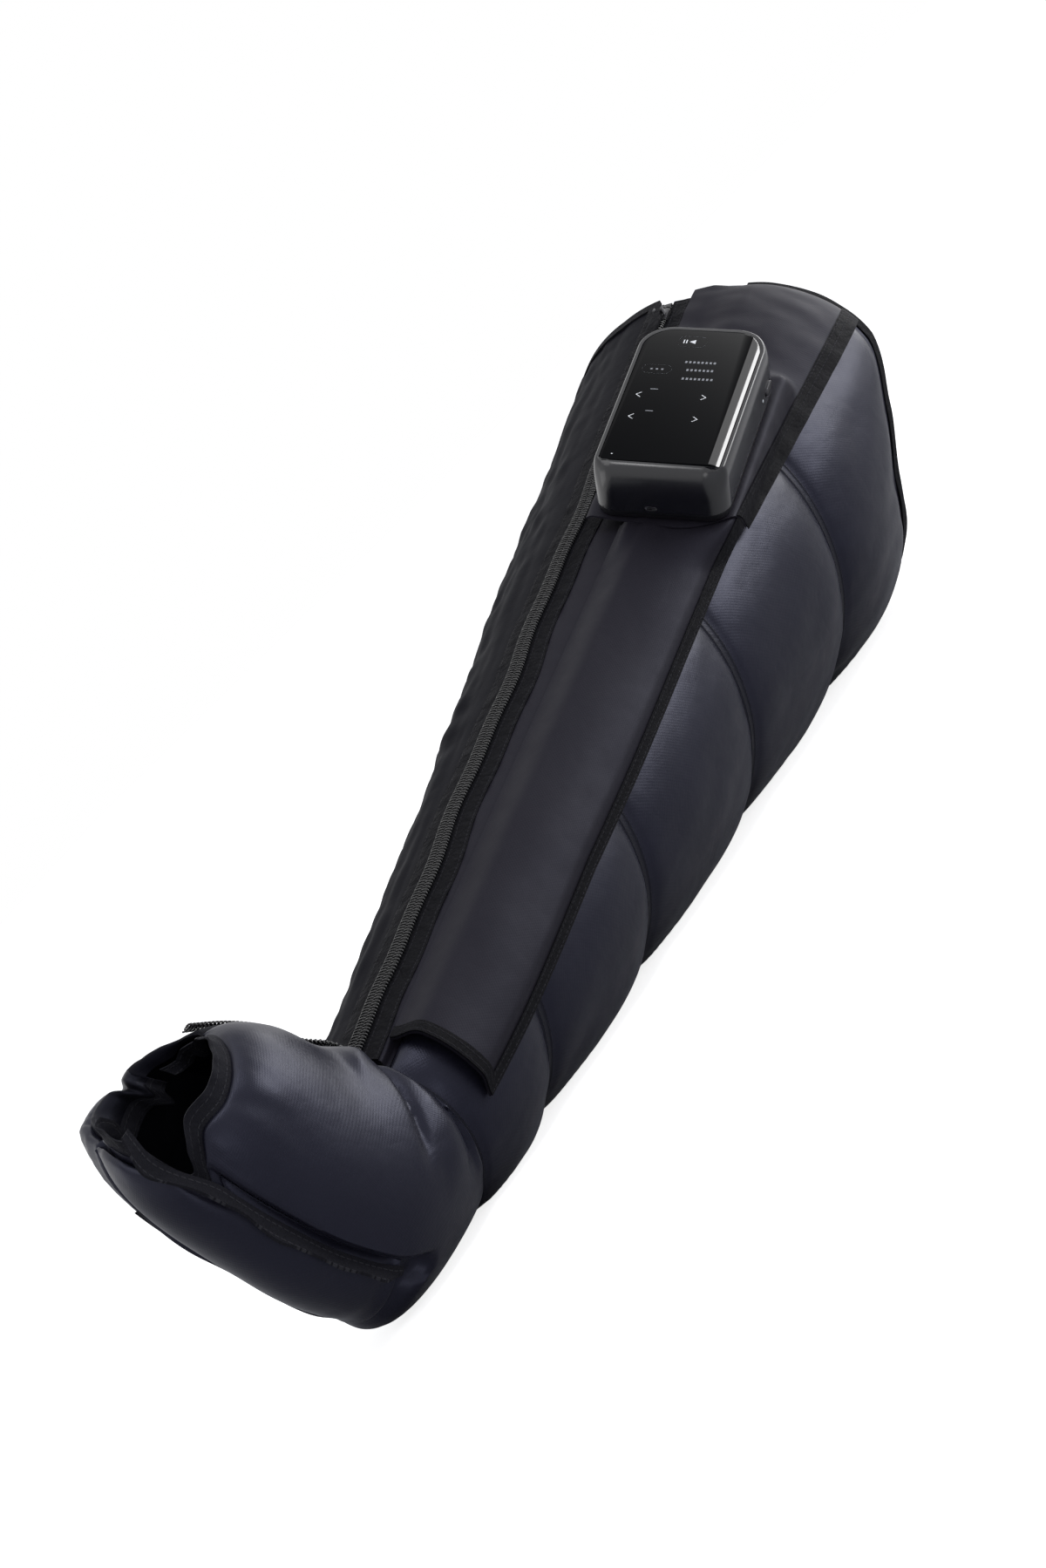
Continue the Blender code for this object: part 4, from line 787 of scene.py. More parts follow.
@dataclass(frozen=True)
class HardFinish:
    """Moulded plastic, lacquered or bare metal.

    Attributes:
        name: The material's name.
        colour: Its colour.
        roughness: Its roughness.
        metallic: 1 for bare metal.
        grain: Depth of its grain.
        turns: Fineness of its grain, in turns a metre.
        coat: Weight of a clear lacquer.
        gloss: Strength of its mirror light.
        vary: How far its colour varies from patch to patch.
    """

    name: str
    colour: Colour
    roughness: float
    metallic: float = 0.0
    grain: float = 0.00002
    turns: float = 2600.0
    coat: float = 0.0
    gloss: float = 0.5
    vary: float = 0.10

    def material(self) -> bpy.types.Material:
        """Build the material."""
        made, graph, shader = principled(
            self.name, Metallic=self.metallic, Coat_Weight=self.coat, Coat_Roughness=0.18,
            Specular_IOR_Level=self.gloss)
        spot = graph.add("TexCoord")
        grain = placed(graph, EFFECTS.grain, spot.outputs["Object"], Turns=self.turns)
        dark = tuple(c * (1.0 - self.vary) for c in self.colour)
        light = tuple(min(c * (1.0 + self.vary), 1.0) for c in self.colour)
        graph.join(graph.mix(grain.outputs["Patch"], dark, light), shader.inputs["Base Color"])
        rough = graph.maths("MULTIPLY_ADD", grain.outputs["Patch"], 0.10, self.roughness - 0.05)
        graph.join(rough, shader.inputs["Roughness"])
        bumped(graph, shader, (grain.outputs["Height"], self.grain))
        return made


class Finishes:
    """Every finish on the boot, each built once."""

    def __init__(self) -> None:
        """Build the materials."""
        cloths = {
            "nylon": ClothFinish(
                "satin_nylon", dark=(0.0048, 0.0047, 0.0086), light=(0.0085, 0.0083, 0.0150),
                roughness=0.37, sheen=0.02, crease=0.0004, turns=24.0, gloss=0.27),
            "lining": ClothFinish(
                "lining_nylon", dark=(0.004, 0.004, 0.006), light=(0.008, 0.008, 0.011),
                roughness=0.45, sheen=0.01, crease=0.0010, turns=30.0, gloss=0.12),
            "gusset": ClothFinish(
                "gusset_nylon", dark=(0.0016, 0.0016, 0.0028), light=(0.0032, 0.0031, 0.0052),
                roughness=0.62, sheen=0.005, crease=0.0004, turns=22.0, gloss=0.05),
            "flap": ClothFinish(
                "flap_nylon", dark=(0.0072, 0.0064, 0.0094), light=(0.0102, 0.0092, 0.0128),
                roughness=0.54, sheen=0.01, crease=0.0004, turns=16.0, gloss=0.13),
            "weld": ClothFinish(
                "weld_nylon", dark=(0.0040, 0.0040, 0.0060), light=(0.0065, 0.0065, 0.0095),
                roughness=0.42, sheen=0.01, crease=0.0002, turns=120.0, gloss=0.18),
        }
        ribbons = {
            "binding": RibbonFinish("stitched_binding", insets=(0.0018, 0.0070)),
            "hem": RibbonFinish("hem_binding", insets=(0.0025,)),
            "rim": RibbonFinish(
                "rim_binding", (0.0100, 0.0100, 0.0135), (0.030, 0.030, 0.036), insets=(0.0030, 0.0098)),
            "tape": RibbonFinish("zip_tape", insets=(0.0035, 0.0125), pitch=0.0036, crease=0.0014),
            "facing": RibbonFinish("facing_cloth", insets=(0.0030, 0.0100), pitch=0.0036, crease=0.0022),
        }
        hard = {
            "coil": HardFinish("coil_nylon", (0.008, 0.008, 0.010), 0.22, grain=0.00001, gloss=0.45),
            "shell": HardFinish(
                "satin_shell", (0.006, 0.0062, 0.0095), 0.24, coat=0.15, grain=0.000004, vary=0.04),
            "glass": HardFinish("tinted_glass", (0.0016, 0.0018, 0.0026), 0.04, grain=0.0, gloss=0.035, vary=0.02),
            "mark": HardFinish("printed_mark", (0.70, 0.72, 0.76), 0.45, grain=0.0, vary=0.03),
            "faint_mark": HardFinish("faint_print", (0.22, 0.23, 0.26), 0.45, grain=0.0, vary=0.03),
            "glass_edge": HardFinish(
                "curved_glass_edge", (0.004, 0.0042, 0.006), 0.10, grain=0.0, gloss=1.0, vary=0.02),
            "plastic": HardFinish("black_plastic", (0.007, 0.007, 0.009), 0.42, gloss=0.25),
            "dark_metal": HardFinish("black_zinc", (0.045, 0.045, 0.050), 0.34, metallic=0.8),
            "steel": HardFinish("bare_steel", (0.45, 0.45, 0.47), 0.28, metallic=1.0, grain=0.00001),
            "lamp": HardFinish("milky_lens", (0.75, 0.80, 0.86), 0.25, grain=0.0, vary=0.02),
            "hose": HardFinish("clear_grey_hose", (0.20, 0.20, 0.20), 0.45),
            "board": HardFinish("green_board", (0.020, 0.140, 0.060), 0.45),
            "cell": HardFinish("wrapped_cell", (0.10, 0.18, 0.35), 0.38),
        }
        for name, finish in {**cloths, **ribbons, **hard}.items():
            setattr(self, name, finish.material())


@dataclass
class Studio:
    """Floor, world, lights and camera.

    Attributes:
        azimuth: The camera's azimuth, in degrees.
        elevation: Its height above the horizon, in degrees.
        roll: Its roll, in degrees.
        distance: Its distance from the target.
        target: Where it looks.
    """

    azimuth: float = -51.0
    elevation: float = 5.4637
    roll: float = 45.8433
    distance: float = 2.5871
    target: Vector = field(default_factory=lambda: Vector((-0.017, 0.0, 0.15)))

    def build(self) -> None:
        """Make everything that isn't part of the boot."""
        scene = bpy.context.scene
        scene.view_settings.view_transform = "Standard"
        self.world()
        self.floor()
        self.lights()
        self.camera()

    def world(self) -> None:
        """A dim even light, and white for what the camera, metal and glass see."""
        made = bpy.data.worlds.new("studio")
        made.use_nodes = True
        bpy.context.scene.world = made
        graph = Graph(made.node_tree)
        made.node_tree.nodes.clear()
        dim = graph.add("Background")
        dim.inputs["Color"].default_value = (0.92, 0.95, 1.0, 1.0)
        dim.inputs["Strength"].default_value = 0.30
        white = graph.add("Background")
        white.inputs["Color"].default_value = (1.0, 1.0, 1.0, 1.0)
        white.inputs["Strength"].default_value = 1.0
        rays = graph.add("LightPath")
        seen = graph.maths("ADD", rays.outputs["Is Camera Ray"], rays.outputs["Is Glossy Ray"])
        seen = graph.maths("ADD", seen, rays.outputs["Is Transmission Ray"])
        mixed = graph.add("MixShader")
        graph.join(graph.maths("MINIMUM", seen, 1.0), mixed.inputs[0])
        graph.join(dim.outputs[0], mixed.inputs[1])
        graph.join(white.outputs[0], mixed.inputs[2])
        graph.join(mixed.outputs[0], graph.add("OutputWorld").inputs["Surface"])

    def floor(self) -> None:
        """A plain pale floor that keeps the boot's shadow."""
        bm = bmesh.new()
        bmesh.ops.create_grid(bm, x_segments=1, y_segments=1, size=9.0)
        bmesh.ops.translate(bm, verts=bm.verts, vec=(0.0, 0.0, -0.0008))
        mesh = bpy.data.meshes.new("floor")
        bm.to_mesh(mesh)
        bm.free()
        made = bpy.data.objects.new("floor", mesh)
        bpy.context.scene.collection.objects.link(made)
        look, graph, shader = principled(
            "pale_floor", Base_Color=(0.86, 0.86, 0.87), Roughness=0.9, Specular_IOR_Level=0.1)
        glow = graph.add("Emission")
        glow.inputs["Color"].default_value = (1.0, 1.0, 1.0, 1.0)
        glow.inputs["Strength"].default_value = 0.80
        rays = graph.add("LightPath")
        dark = graph.add("Emission")
        dark.inputs["Strength"].default_value = 0.0
        chosen = graph.add("MixShader")
        graph.join(rays.outputs["Is Camera Ray"], chosen.inputs[0])
        graph.join(dark.outputs[0], chosen.inputs[1])
        graph.join(glow.outputs[0], chosen.inputs[2])
        total = graph.add("AddShader")
        graph.join(shader.outputs[0], total.inputs[0])
        graph.join(chosen.outputs[0], total.inputs[1])
        graph.join(total.outputs[0], look.node_tree.nodes["Material Output"].inputs["Surface"])
        mesh.materials.append(look)

    def lights(self) -> None:
        """Large soft boxes."""
        for name, spot, size, power in (
            ("key_box", (1.7, -2.0, 0.40), (1.6, 1.0), 38.0),
            ("edge_box", (2.1, -0.5, 0.50), (1.2, 0.9), 12.0),
            ("nose_box", (-0.1, -1.3, 1.85), (1.0, 0.35), 7.0),
            ("toe_box", (-1.5, -1.5, 0.30), (1.2, 0.5), 4.0),
            ("top_box", (-0.3, -0.5, 2.6), (2.4, 1.6), 16.0),
            ("back_box", (-1.2, 1.9, 1.3), (1.6, 1.2), 6.0),
        ):
            lamp = bpy.data.lights.new(name, "AREA")
            lamp.shape = "RECTANGLE"
            lamp.size, lamp.size_y = size
            lamp.energy = power
            made = bpy.data.objects.new(name, lamp)
            bpy.context.scene.collection.objects.link(made)
            made.location = spot
            aim = self.target - Vector(spot)
            made.rotation_euler = aim.to_track_quat("-Z", "Y").to_euler()
            made.visible_camera = False

    def camera(self) -> None:
        """The camera at the photograph's angle."""
        turn, rise, roll = (math.radians(a) for a in (self.azimuth, self.elevation, self.roll))
        back = Vector((math.sin(turn) * math.cos(rise), -math.cos(turn) * math.cos(rise), math.sin(rise)))
        level = Vector((math.cos(turn), math.sin(turn), 0.0))
        upright = back.cross(level)
        right = level * math.cos(roll) - upright * math.sin(roll)
        up = level * math.sin(roll) + upright * math.cos(roll)
        lens = bpy.data.cameras.new("camera")
        lens.lens = 87.08
        lens.sensor_fit = "VERTICAL"
        lens.sensor_height = 36.0
        lens.shift_x = 0.00755
        lens.shift_y = -0.00797
        lens.clip_end = 60.0
        made = bpy.data.objects.new("camera", lens)
        bpy.context.scene.collection.objects.link(made)
        place = Matrix((right, up, back)).transposed().to_4x4()
        place.translation = self.target + back * self.distance
        made.matrix_world = place
        bpy.context.scene.camera = made


@dataclass
class LegChambers:
    """The five inflated chambers up the leg and the welds between them.

    Attributes:
        finishes: The finishes.
        margin: Width of the flat weld beside each chamber.
        pucker: Height of the puckers that run off the welds.
    """

    finishes: Finishes
    margin: float = 0.0050
    pucker: float = 0.0024
    names: tuple[str, ...] = (
        "calf_chamber_lower", "calf_chamber_upper", "knee_chamber", "thigh_chamber_lower", "thigh_chamber_upper")

    def build(self) -> None:
        """Make the chambers and their weld bands."""
        for k, name in enumerate(self.names):
            self.chamber(name, k)
        for k, seam in enumerate(LEG.seams):
            self.weld(k, seam)

    def limits(self, k: int, angle: float) -> tuple[float, float]:
        """Both ends of a chamber at an angle round the leg."""
        low = LEG.seam(LEG.seams[k], angle)
        high = LEG.seam(LEG.seams[k + 1], angle) if k < 4 else LEG.hem(angle) - LEG.hem_ribbon / 2
        return low + LEG.weld_gap / 2, high - LEG.weld_gap / 2

    def relief(self, k: int, x: float, angle: float, low: float, high: float) -> float:
        """Wrinkles of a chamber's outer skin, in metres."""
        arc = math.radians(angle) * LEG.radius(x)
        made = self.pucker * gathers(x - low, arc, 0.030, 0.017, k + 0.3)
        made += self.pucker * gathers(high - x, arc, 0.030, 0.017, k + 20.3)
        made += 0.0022 * ripple(x, arc, 0.075, k + 3.7)
        made += 0.0009 * ripple(arc, x, 0.026, k + 11.1)
        return made

    def chamber(self, name: str, k: int) -> None:
        """Make one chamber as a closed, crowned pillow."""
        inner = spread(0.02, 0.98, 40)
        shares = [0.0, 0.004, 0.010] + inner + [0.990, 0.996, 1.0]
        rounds = [0.0, 0.004, 0.012, 0.024]
        rounds = rounds + spread(0.036, 0.964, 150) + [1.0 - s for s in reversed(rounds)]
        angles = [LEG.start + (LEG.end - LEG.start) * s for s in rounds]

        def place(share: float, angle: float, side: int) -> Vector:
            low, high = self.limits(k, angle)
            x = low + (high - low) * share
            edge = self.margin / (high - low)
            across = min(max((share - edge) / (1.0 - 2.0 * edge), 0.0), 1.0)
            ends = crown((angle - LEG.start) / (LEG.end - LEG.start), LEG.end_power)
            swell = crown(across) * ends
            if side:
                off = -LEG.seam_depth + LEG.seam_depth * swell
                off += self.relief(k, x, angle, low, high) * min(swell * 2.0, 1.0)
            else:
                off = -LEG.seam_depth - LEG.web - (LEG.wall(x) - LEG.seam_depth - LEG.web) * swell
                off += 0.5 * self.relief(k, x, angle + 90.0, low, high) * min(swell * 2.0, 1.0)
            made = LEG.point(x, angle, off)
            made.z = max(made.z, 0.0)
            return made

        made = finished(name + "_skin", skin(shares, angles, place), self.finishes.nylon, Body.BOOT, [name])

    def weld(self, k: int, seam: float) -> None:
        """Make the pressed band of a welded seam, with its two fine ridges."""
        half = 0.0048
        widths = [half * s for s in (-1.0, -0.8, -0.66, -0.5, -0.2, 0.2, 0.5, 0.66, 0.8, 1.0)]
        angles = spread(LEG.start + 0.6, LEG.end - 0.6, 150)

        def place(across: float, angle: float, side: int) -> Vector:
            ridge = bell(abs(across) / half - 0.66, 0.14)
            off = -LEG.seam_depth + 0.0002 + (0.0004 + 0.0006 * ridge if side else 0.0)
            made = LEG.point(LEG.seam(seam, angle) + across, angle, off)
            made.z = max(made.z, 0.0003 if side else 0.0)
            return made

        finished("weld_band_" + str(k + 1), skin(widths, angles, place), self.finishes.weld, Body.BOOT)


@dataclass
class Foot:
    """The foot: its chamber, sole pad, bound seams, toe rim and instep."""

    finishes: Finishes
    fin_angle: float = 144.6
    fin_foot: float = -0.0045
    fin_width: float = 0.012
    rim_width: float = 0.012

    def build(self) -> None:
        """Make every piece of the foot."""
        self.chamber()
        self.sole_pad()
        self.fin("sole_ribbon_near", self.fin_angle, 1.0)
        self.fin("sole_ribbon_far", 360.0 - self.fin_angle, -1.0)
        self.toe_rim()
        self.instep()

    def relief(self, share: float, angle: float) -> float:
        """Wrinkles of the foot's outer skin, in metres."""
        across = math.radians(angle) * FOOT.girth
        length = share * FOOT.length
        made = 0.0026 * gathers(length, across, 0.035, 0.016, 41.0)
        made += 0.0060 * gathers(FOOT.length * FOOT.chamber_end - length, across, 0.030, 0.017, 43.0)
        made += 0.0024 * ripple(length, across, 0.060, 47.0)
        for fold in self.folds():
            made += fold.at(length, across)
        return made

    @staticmethod
    def folds() -> tuple[Fold, ...]:
        """The pulled folds round the ankle, near and far side alike."""
        near = (
            Fold((0.010, 0.052), (0.020, 0.150), -0.0055, 0.0050),
            Fold((0.022, 0.050), (0.036, 0.140), 0.0030, 0.0080),
            Fold((0.036, 0.050), (0.058, 0.118), -0.0042, 0.0060),
            Fold((0.050, 0.046), (0.100, 0.070), 0.0026, 0.0090),
        )
        turn = 2 * math.pi * FOOT.girth
        far = tuple(Fold((f.start[0], turn - f.start[1]), (f.end[0], turn - f.end[1]), f.height, f.width) for f in near)
        return near + far

    def chamber(self) -> None:
        """Make the chamber round heel and sides."""
        shares = [0.0, 0.006, 0.014] + spread(0.024, 0.960, 58) + [0.968, 0.975, FOOT.chamber_end]
        rounds = [0.0, 0.004, 0.012] + spread(0.024, 0.976, 150) + [0.988, 0.996, 1.0]
        angles = [FOOT.edge + (360.0 - 2 * FOOT.edge) * s for s in rounds]

        def place(share: float, angle: float, side: int) -> Vector:
            swell = FOOT.swell(share, angle)
            if side:
                off = FOOT.outer(share, angle) + self.relief(share, angle) * min(swell * 2.0, 1.0)
            else:
                off = -LEG.seam_depth - LEG.web - (FOOT.wall - LEG.seam_depth - LEG.web) * swell
            laid, inward = FOOT.laid(share / FOOT.chamber_end, angle)
            made = FOOT.point(laid, angle, off - inward)
            made.z = max(made.z, 0.0)
            return made

        strip = skin(shares, angles, place)
        made = finished("foot_chamber_skin", strip, self.finishes.nylon, Body.BOOT, ["foot_chamber"],
                        lining=self.finishes.lining)

    def sole_pad(self) -> None:
        """Make the crowned pad under the foot."""
        low, high = FOOT.sole_start + 0.012, 0.93
        first, last = FOOT.sole_edge + 1.0, 359.0 - FOOT.sole_edge
        shares = [low, low + 0.005] + spread(low + 0.012, high - 0.012, 40) + [high - 0.005, high]
        angles = [first, first + 0.8] + spread(first + 2.0, last - 2.0, 56) + [last - 0.8, last]

        def place(share: float, angle: float, side: int) -> Vector:
            seat = FOOT.outer(share, angle) + 0.0005
            along_share = (share - low) / (high - low)
            laid = low + (min(high, FOOT.rim(angle) - 0.03) - low) * along_share
            if not side:
                return FOOT.point(laid, angle, seat)
            across_share = (angle - first) / (last - first)
            swell = crown(along_share) * crown(across_share)
            length, across = laid * FOOT.length, math.radians(angle) * FOOT.girth
            wave = 0.0018 * ripple(length, across, 0.034, 51.0)
            wave += 0.0022 * gathers(across - 2.50 * FOOT.girth, length, 0.020, 0.013, 53.0)
            return FOOT.point(laid, angle, seat + LEG.web + (FOOT.recess - LEG.web) * swell + wave * swell)

        strip = skin(shares, angles, place)
        made = finished("sole_pad_skin", strip, self.finishes.nylon, Body.BOOT, ["sole_pad"])

    def fin(self, name: str, angle: float, turn: float) -> None:
        """Make one bound seam that stands up along an edge of the sole pad."""
        shares = spread(FOOT.sole_start, 0.93 if turn > 0 else 0.78, 90)
        levels = spread(self.fin_foot, self.fin_foot + self.fin_width, 7)

        def place(share: float, level: float, side: int) -> Vector:
            half = math.degrees(0.0008 / FOOT.girth) * (1.0 if side else -1.0)
            rise = (level - self.fin_foot) / self.fin_width
            free = eased((share - 0.72) / 0.16) if turn > 0 else 0.0
            wave = noise.noise(Vector((share * 11.0, 0.0, turn * 7.0)))
            lean = (4.6 + 3.0 * wave) * math.sin(rise * 1.3) if turn > 0 else 9.0 * math.sin(rise * 1.5)
            lift = (0.62 + 0.30 * wave) if turn > 0 else 0.36
            lift *= eased((share - FOOT.sole_start) / 0.06)
            stands = self.fin_foot + (level - self.fin_foot) * lift
            return FOOT.point(share, angle + turn * half + lean + 11.0 * free, stands)

        finished(name + "_strip", skin(shares, levels, place), self.finishes.rim, Body.BOOT, [name])

    def toe_rim(self) -> None:
        """Make the stitched ribbon that hangs round the open toe."""
        angles = spread(-20.0, 326.0, 300)
        widths = spread(0.0, 1.0, 8)

        def place(angle: float, width: float, side: int) -> Vector:
            edge, before = (FOOT.laid(s, angle) for s in (1.0, 0.985))
            level = -LEG.seam_depth - LEG.web
            foot = FOOT.point(edge[0], angle, level - edge[1])
            ahead = (foot - FOOT.point(before[0], angle, level - before[1])).normalized()
            out = (FOOT.point(edge[0], angle, level + 0.01) - FOOT.point(edge[0], angle, level)).normalized()
            wave = noise.noise(Vector((angle / 13.0, 0.0, 63.0)))
            near = bell(angle - 118.0, 34.0)
            curl = (0.0060 * near + 0.0050 * wave) * width * width
            reach = self.rim_width * (1.0 + 0.25 * near + 0.12 * wave)
            return foot + ahead * (reach * width) + out * (curl + (0.0008 if side else -0.0006))

        strip = skin(angles, widths, place)
        finished("toe_rim_strip", strip, self.finishes.rim, Body.BOOT, ["toe_rim_ribbon"])

    def instep_level(self, share: float, angle: float) -> float:
        """Level of the instep cloth's upper face."""
        base = -LEG.seam_depth - 0.0008 + 0.0053 * (1.0 - min(abs(angle) / FOOT.edge, 1.0) ** 4)
        fade = eased(share / 0.1) * eased((0.98 - share) / 0.1) * (1.0 - min(abs(angle) / FOOT.edge, 1.0) ** 2)
        return base + fade * 0.0022 * ripple(math.radians(angle) * FOOT.girth, share * 0.12, 0.016, 71.0)

    def instep(self) -> None:
        """Make the cloth over the instep."""
        shares = spread(0.03, 0.995, 64)
        angles = spread(-36.0, 36.0, 50)

        def cloth(share: float, angle: float, side: int) -> Vector:
            laid, inward = FOOT.laid(share, angle)
            return FOOT.point(laid, angle, self.instep_level(share, angle) - inward - (0.0 if side else LEG.cloth))

        strip = skin(shares, angles, cloth)
        made = finished("instep_sheet", strip, self.finishes.gusset, Body.BOOT, ["instep_cloth"])


@dataclass
class Coil:
    """A zip's coil: two interlocked rows of loops along a path.

    Attributes:
        pitch: Distance between loops.
        wire: Radius of the coil's wire.
        half: Half the chain's width.
    """

    pitch: float = 0.0027
    wire: float = 0.00066
    half: float = 0.0062
    steps: int = 8

    def build(self, name: str, length: float, at: Callable[[float], Matrix], look: bpy.types.Material,
              nodes: Sequence[str]) -> bpy.types.Object:
        """Make the coil along a path.

        Args:
            name: The piece's name.
            length: Length of the path.
            at: Gives the frame at a distance along the path, Z outwards.
            look: Its material.
            nodes: The CAD nodes that it stands for.

        Returns:
            The coil as one mesh.
        """
        curve = bpy.data.curves.new(name, "CURVE")
        curve.dimensions = "3D"
        curve.bevel_depth = self.wire
        curve.bevel_resolution = 1
        turns = int(length / self.pitch)
        for side in (-1.0, 1.0):
            spline = curve.splines.new("POLY")
            spline.points.add(turns * self.steps - 1)
            for k, point in enumerate(spline.points):
                turn = k / self.steps
                theta = 2.0 * math.pi * turn
                out = self.half * 0.46 + self.half * 0.48 * math.cos(theta)
                up = 0.0013 * math.sin(theta)
                shift = self.pitch * (turn + (0.5 if side > 0 else 0.0))
                point.co = (*(at(min(shift, length)) @ Vector((0.0, side * out, up))), 1.0)
        source = bpy.data.objects.new(name, curve)
        bpy.context.scene.collection.objects.link(source)
        bpy.context.view_layer.update()
        mesh = bpy.data.meshes.new_from_object(source.evaluated_get(bpy.context.evaluated_depsgraph_get()))
        bpy.data.objects.remove(source)
        bm = bmesh.new()
        bm.from_mesh(mesh)
        bpy.data.meshes.remove(mesh)
        return finished(name, bm, look, Body.BOOT, nodes, sharp=80.0)


@dataclass
class Front:
    """The cloth round the zip: gusset, facing, tapes and coil."""

    finishes: Finishes
    gusset_fold: float = 0.0050

    def build(self) -> None:
        """Make every piece of the front."""
        self.gusset()
        self.facing()
        self.tape("zip_tape_near", 1.0)
        self.tape("zip_tape_far", -1.0)
        self.coils()

    def gusset_level(self, x: float, share: float, angle: float) -> float:
        """Level of the gusset's upper face, with its long slanting folds."""
        inner = min(share / 0.82, 1.0)
        mask = math.sin(math.pi * inner) ** 0.8 if inner < 1.0 else 0.0
        arc = math.radians(angle) * LEG.radius(x)
        fold = 0.8 * noise.noise(Vector((arc / 0.026 + x * 5.0, x / 0.16, 81.0)))
        fold += 0.5 * noise.noise(Vector((arc / 0.013 - x * 9.0, x / 0.07, 83.0)))
        fold += 0.35 * noise.noise(Vector((x / 0.020, arc / 0.030, 85.0)))
        return LEG.front_level(angle) + self.gusset_fold * mask * fold

    def gusset(self) -> None:
        """Make the unpadded cloth between the zip and the chambers' far edge."""
        xs = spread(LEG.zip_low, LEG.zip_top, 260)
        shares = spread(0.0, 1.0, 56)

        def place(x: float, share: float, side: int) -> Vector:
            end = LEG.zip_offset(x, -LEG.chain_width / 2 - LEG.tape_width / 2)
            angle = LEG.gusset_start + (end - LEG.gusset_start) * share
            return LEG.point(x, angle, self.gusset_level(x, share, angle) - (0.0 if side else LEG.cloth))

        strip = skin(xs, shares, place)
        made = finished("gusset_sheet", strip, self.finishes.gusset, Body.BOOT, ["front_gusset"])

    def facing(self) -> None:
        """Make the strip between the zip and the chambers: rough facing, then the flap's sewn edge."""
        xs = spread(LEG.zip_low, LEG.zip_top, 260)
        shares = spread(0.0, 1.0, 30)
        seam, root = 30.5, 42.5

        def place(x: float, share: float, side: int) -> Vector:
            start = LEG.zip_offset(x, LEG.chain_width / 2 + LEG.tape_width / 2)
            angle = start + (LEG.start - 0.3 - start) * share
            rough = 0.0007 * noise.noise(Vector((x / 0.009, share * 2.2, 91.0))) * eased((share - 0.25) / 0.1)
            sewn = LEG.front - 0.0008 + 0.0006 * bell(angle - seam - 0.8, 0.7)
            level = LEG.front_level(angle) + rough
            level += (sewn - level) * eased((angle - seam) / 0.6) * eased((root + 1.5 - angle) / 2.5)
            return LEG.point(x, angle, level - (0.0 if side else LEG.cloth))

        strip = skin(xs, shares, place)
        for face in strip.faces:
            spot = face.calc_center_median()
            middle = LEG.radius(spot.x + LEG.rest_x) / LEG.section - LEG.sunk
            face.material_index = 1 if math.degrees(math.atan2(-spot.y, spot.z - middle)) > seam else 0
        finished("zip_facing_strip", strip, self.finishes.facing, Body.BOOT, ["zip_facing"],
                 lining=self.finishes.flap)

    def tape(self, name: str, turn: float) -> None:
        """Make one woven tape of the zip."""
        xs = spread(LEG.zip_low, LEG.zip_top, 260)
        inner = LEG.chain_width / 2 + 0.0003
        widths = spread(inner, inner + LEG.tape_width, 12)

        def place(x: float, across: float, side: int) -> Vector:
            share = (across - inner) / LEG.tape_width
            rough = 0.0009 * eased(share * 2.0) * noise.noise(Vector((x / 0.011, share * 1.5, 95.0 + turn)))
            angle = LEG.zip_offset(x, turn * across + LEG.zip_wave(x))
            return LEG.point(x, angle, LEG.front + (max(rough, -0.0002) if side else -LEG.cloth))

        finished(name + "_strip", skin(xs, widths, place), self.finishes.tape, Body.BOOT, [name])

    def coils(self) -> None:
        """Make the chain up the leg and the chain over the instep."""
        start, end = LEG.zip_low, LEG.zip_top - 0.008
        scale = (LEG.point(end, LEG.zip_angle) - LEG.point(start, LEG.zip_angle)).length / (end - start)

        def leg(distance: float) -> Matrix:
            x = start + distance / scale
            return LEG.frame_at(x, LEG.zip_offset(x, LEG.zip_wave(x)), LEG.front + 0.0014)

        Coil().build("zip_coil_leg", (end - start) * scale, leg, self.finishes.coil, ["zip_chain"])
        shares = (0.22, 0.34, 0.48, 0.64, 0.80, 0.93)
        turns = (30.0, 27.0, 23.0, 18.0, 12.0, 8.0)
        level = -LEG.seam_depth + 0.0045 + 0.0012

        def spot(share: float, across: float, up: float) -> Vector:
            angle = along(shares, turns, share) + math.degrees(across / 0.0645)
            return FOOT.point(share, angle, level + up)

        track = [spot(s, 0.0, 0.0) for s in spread(shares[0], shares[-1], 60)]
        reach = [0.0]
        for a, b in zip(track[:-1], track[1:]):
            reach.append(reach[-1] + (b - a).length)

        def foot(distance: float) -> Matrix:
            k = min(max(sum(r <= distance for r in reach) - 1, 0), len(reach) - 2)
            part = (distance - reach[k]) / (reach[k + 1] - reach[k])
            share = shares[0] + (shares[-1] - shares[0]) * (k + part) / (len(reach) - 1)
            ahead = (spot(share + 0.01, 0.0, 0.0) - spot(share - 0.01, 0.0, 0.0)).normalized()
            side = (spot(share, 0.001, 0.0) - spot(share, -0.001, 0.0)).normalized()
            out = ahead.cross(side)
            if out.dot(spot(share, 0.0, 0.001) - spot(share, 0.0, 0.0)) < 0:
                out = -out
            made = Matrix((ahead, out.cross(ahead), out)).transposed().to_4x4()
            made.translation = spot(share, 0.0, 0.0)
            return made

        Coil().build("zip_coil_foot", reach[-1], foot, self.finishes.coil, ["instep_zip_chain"])


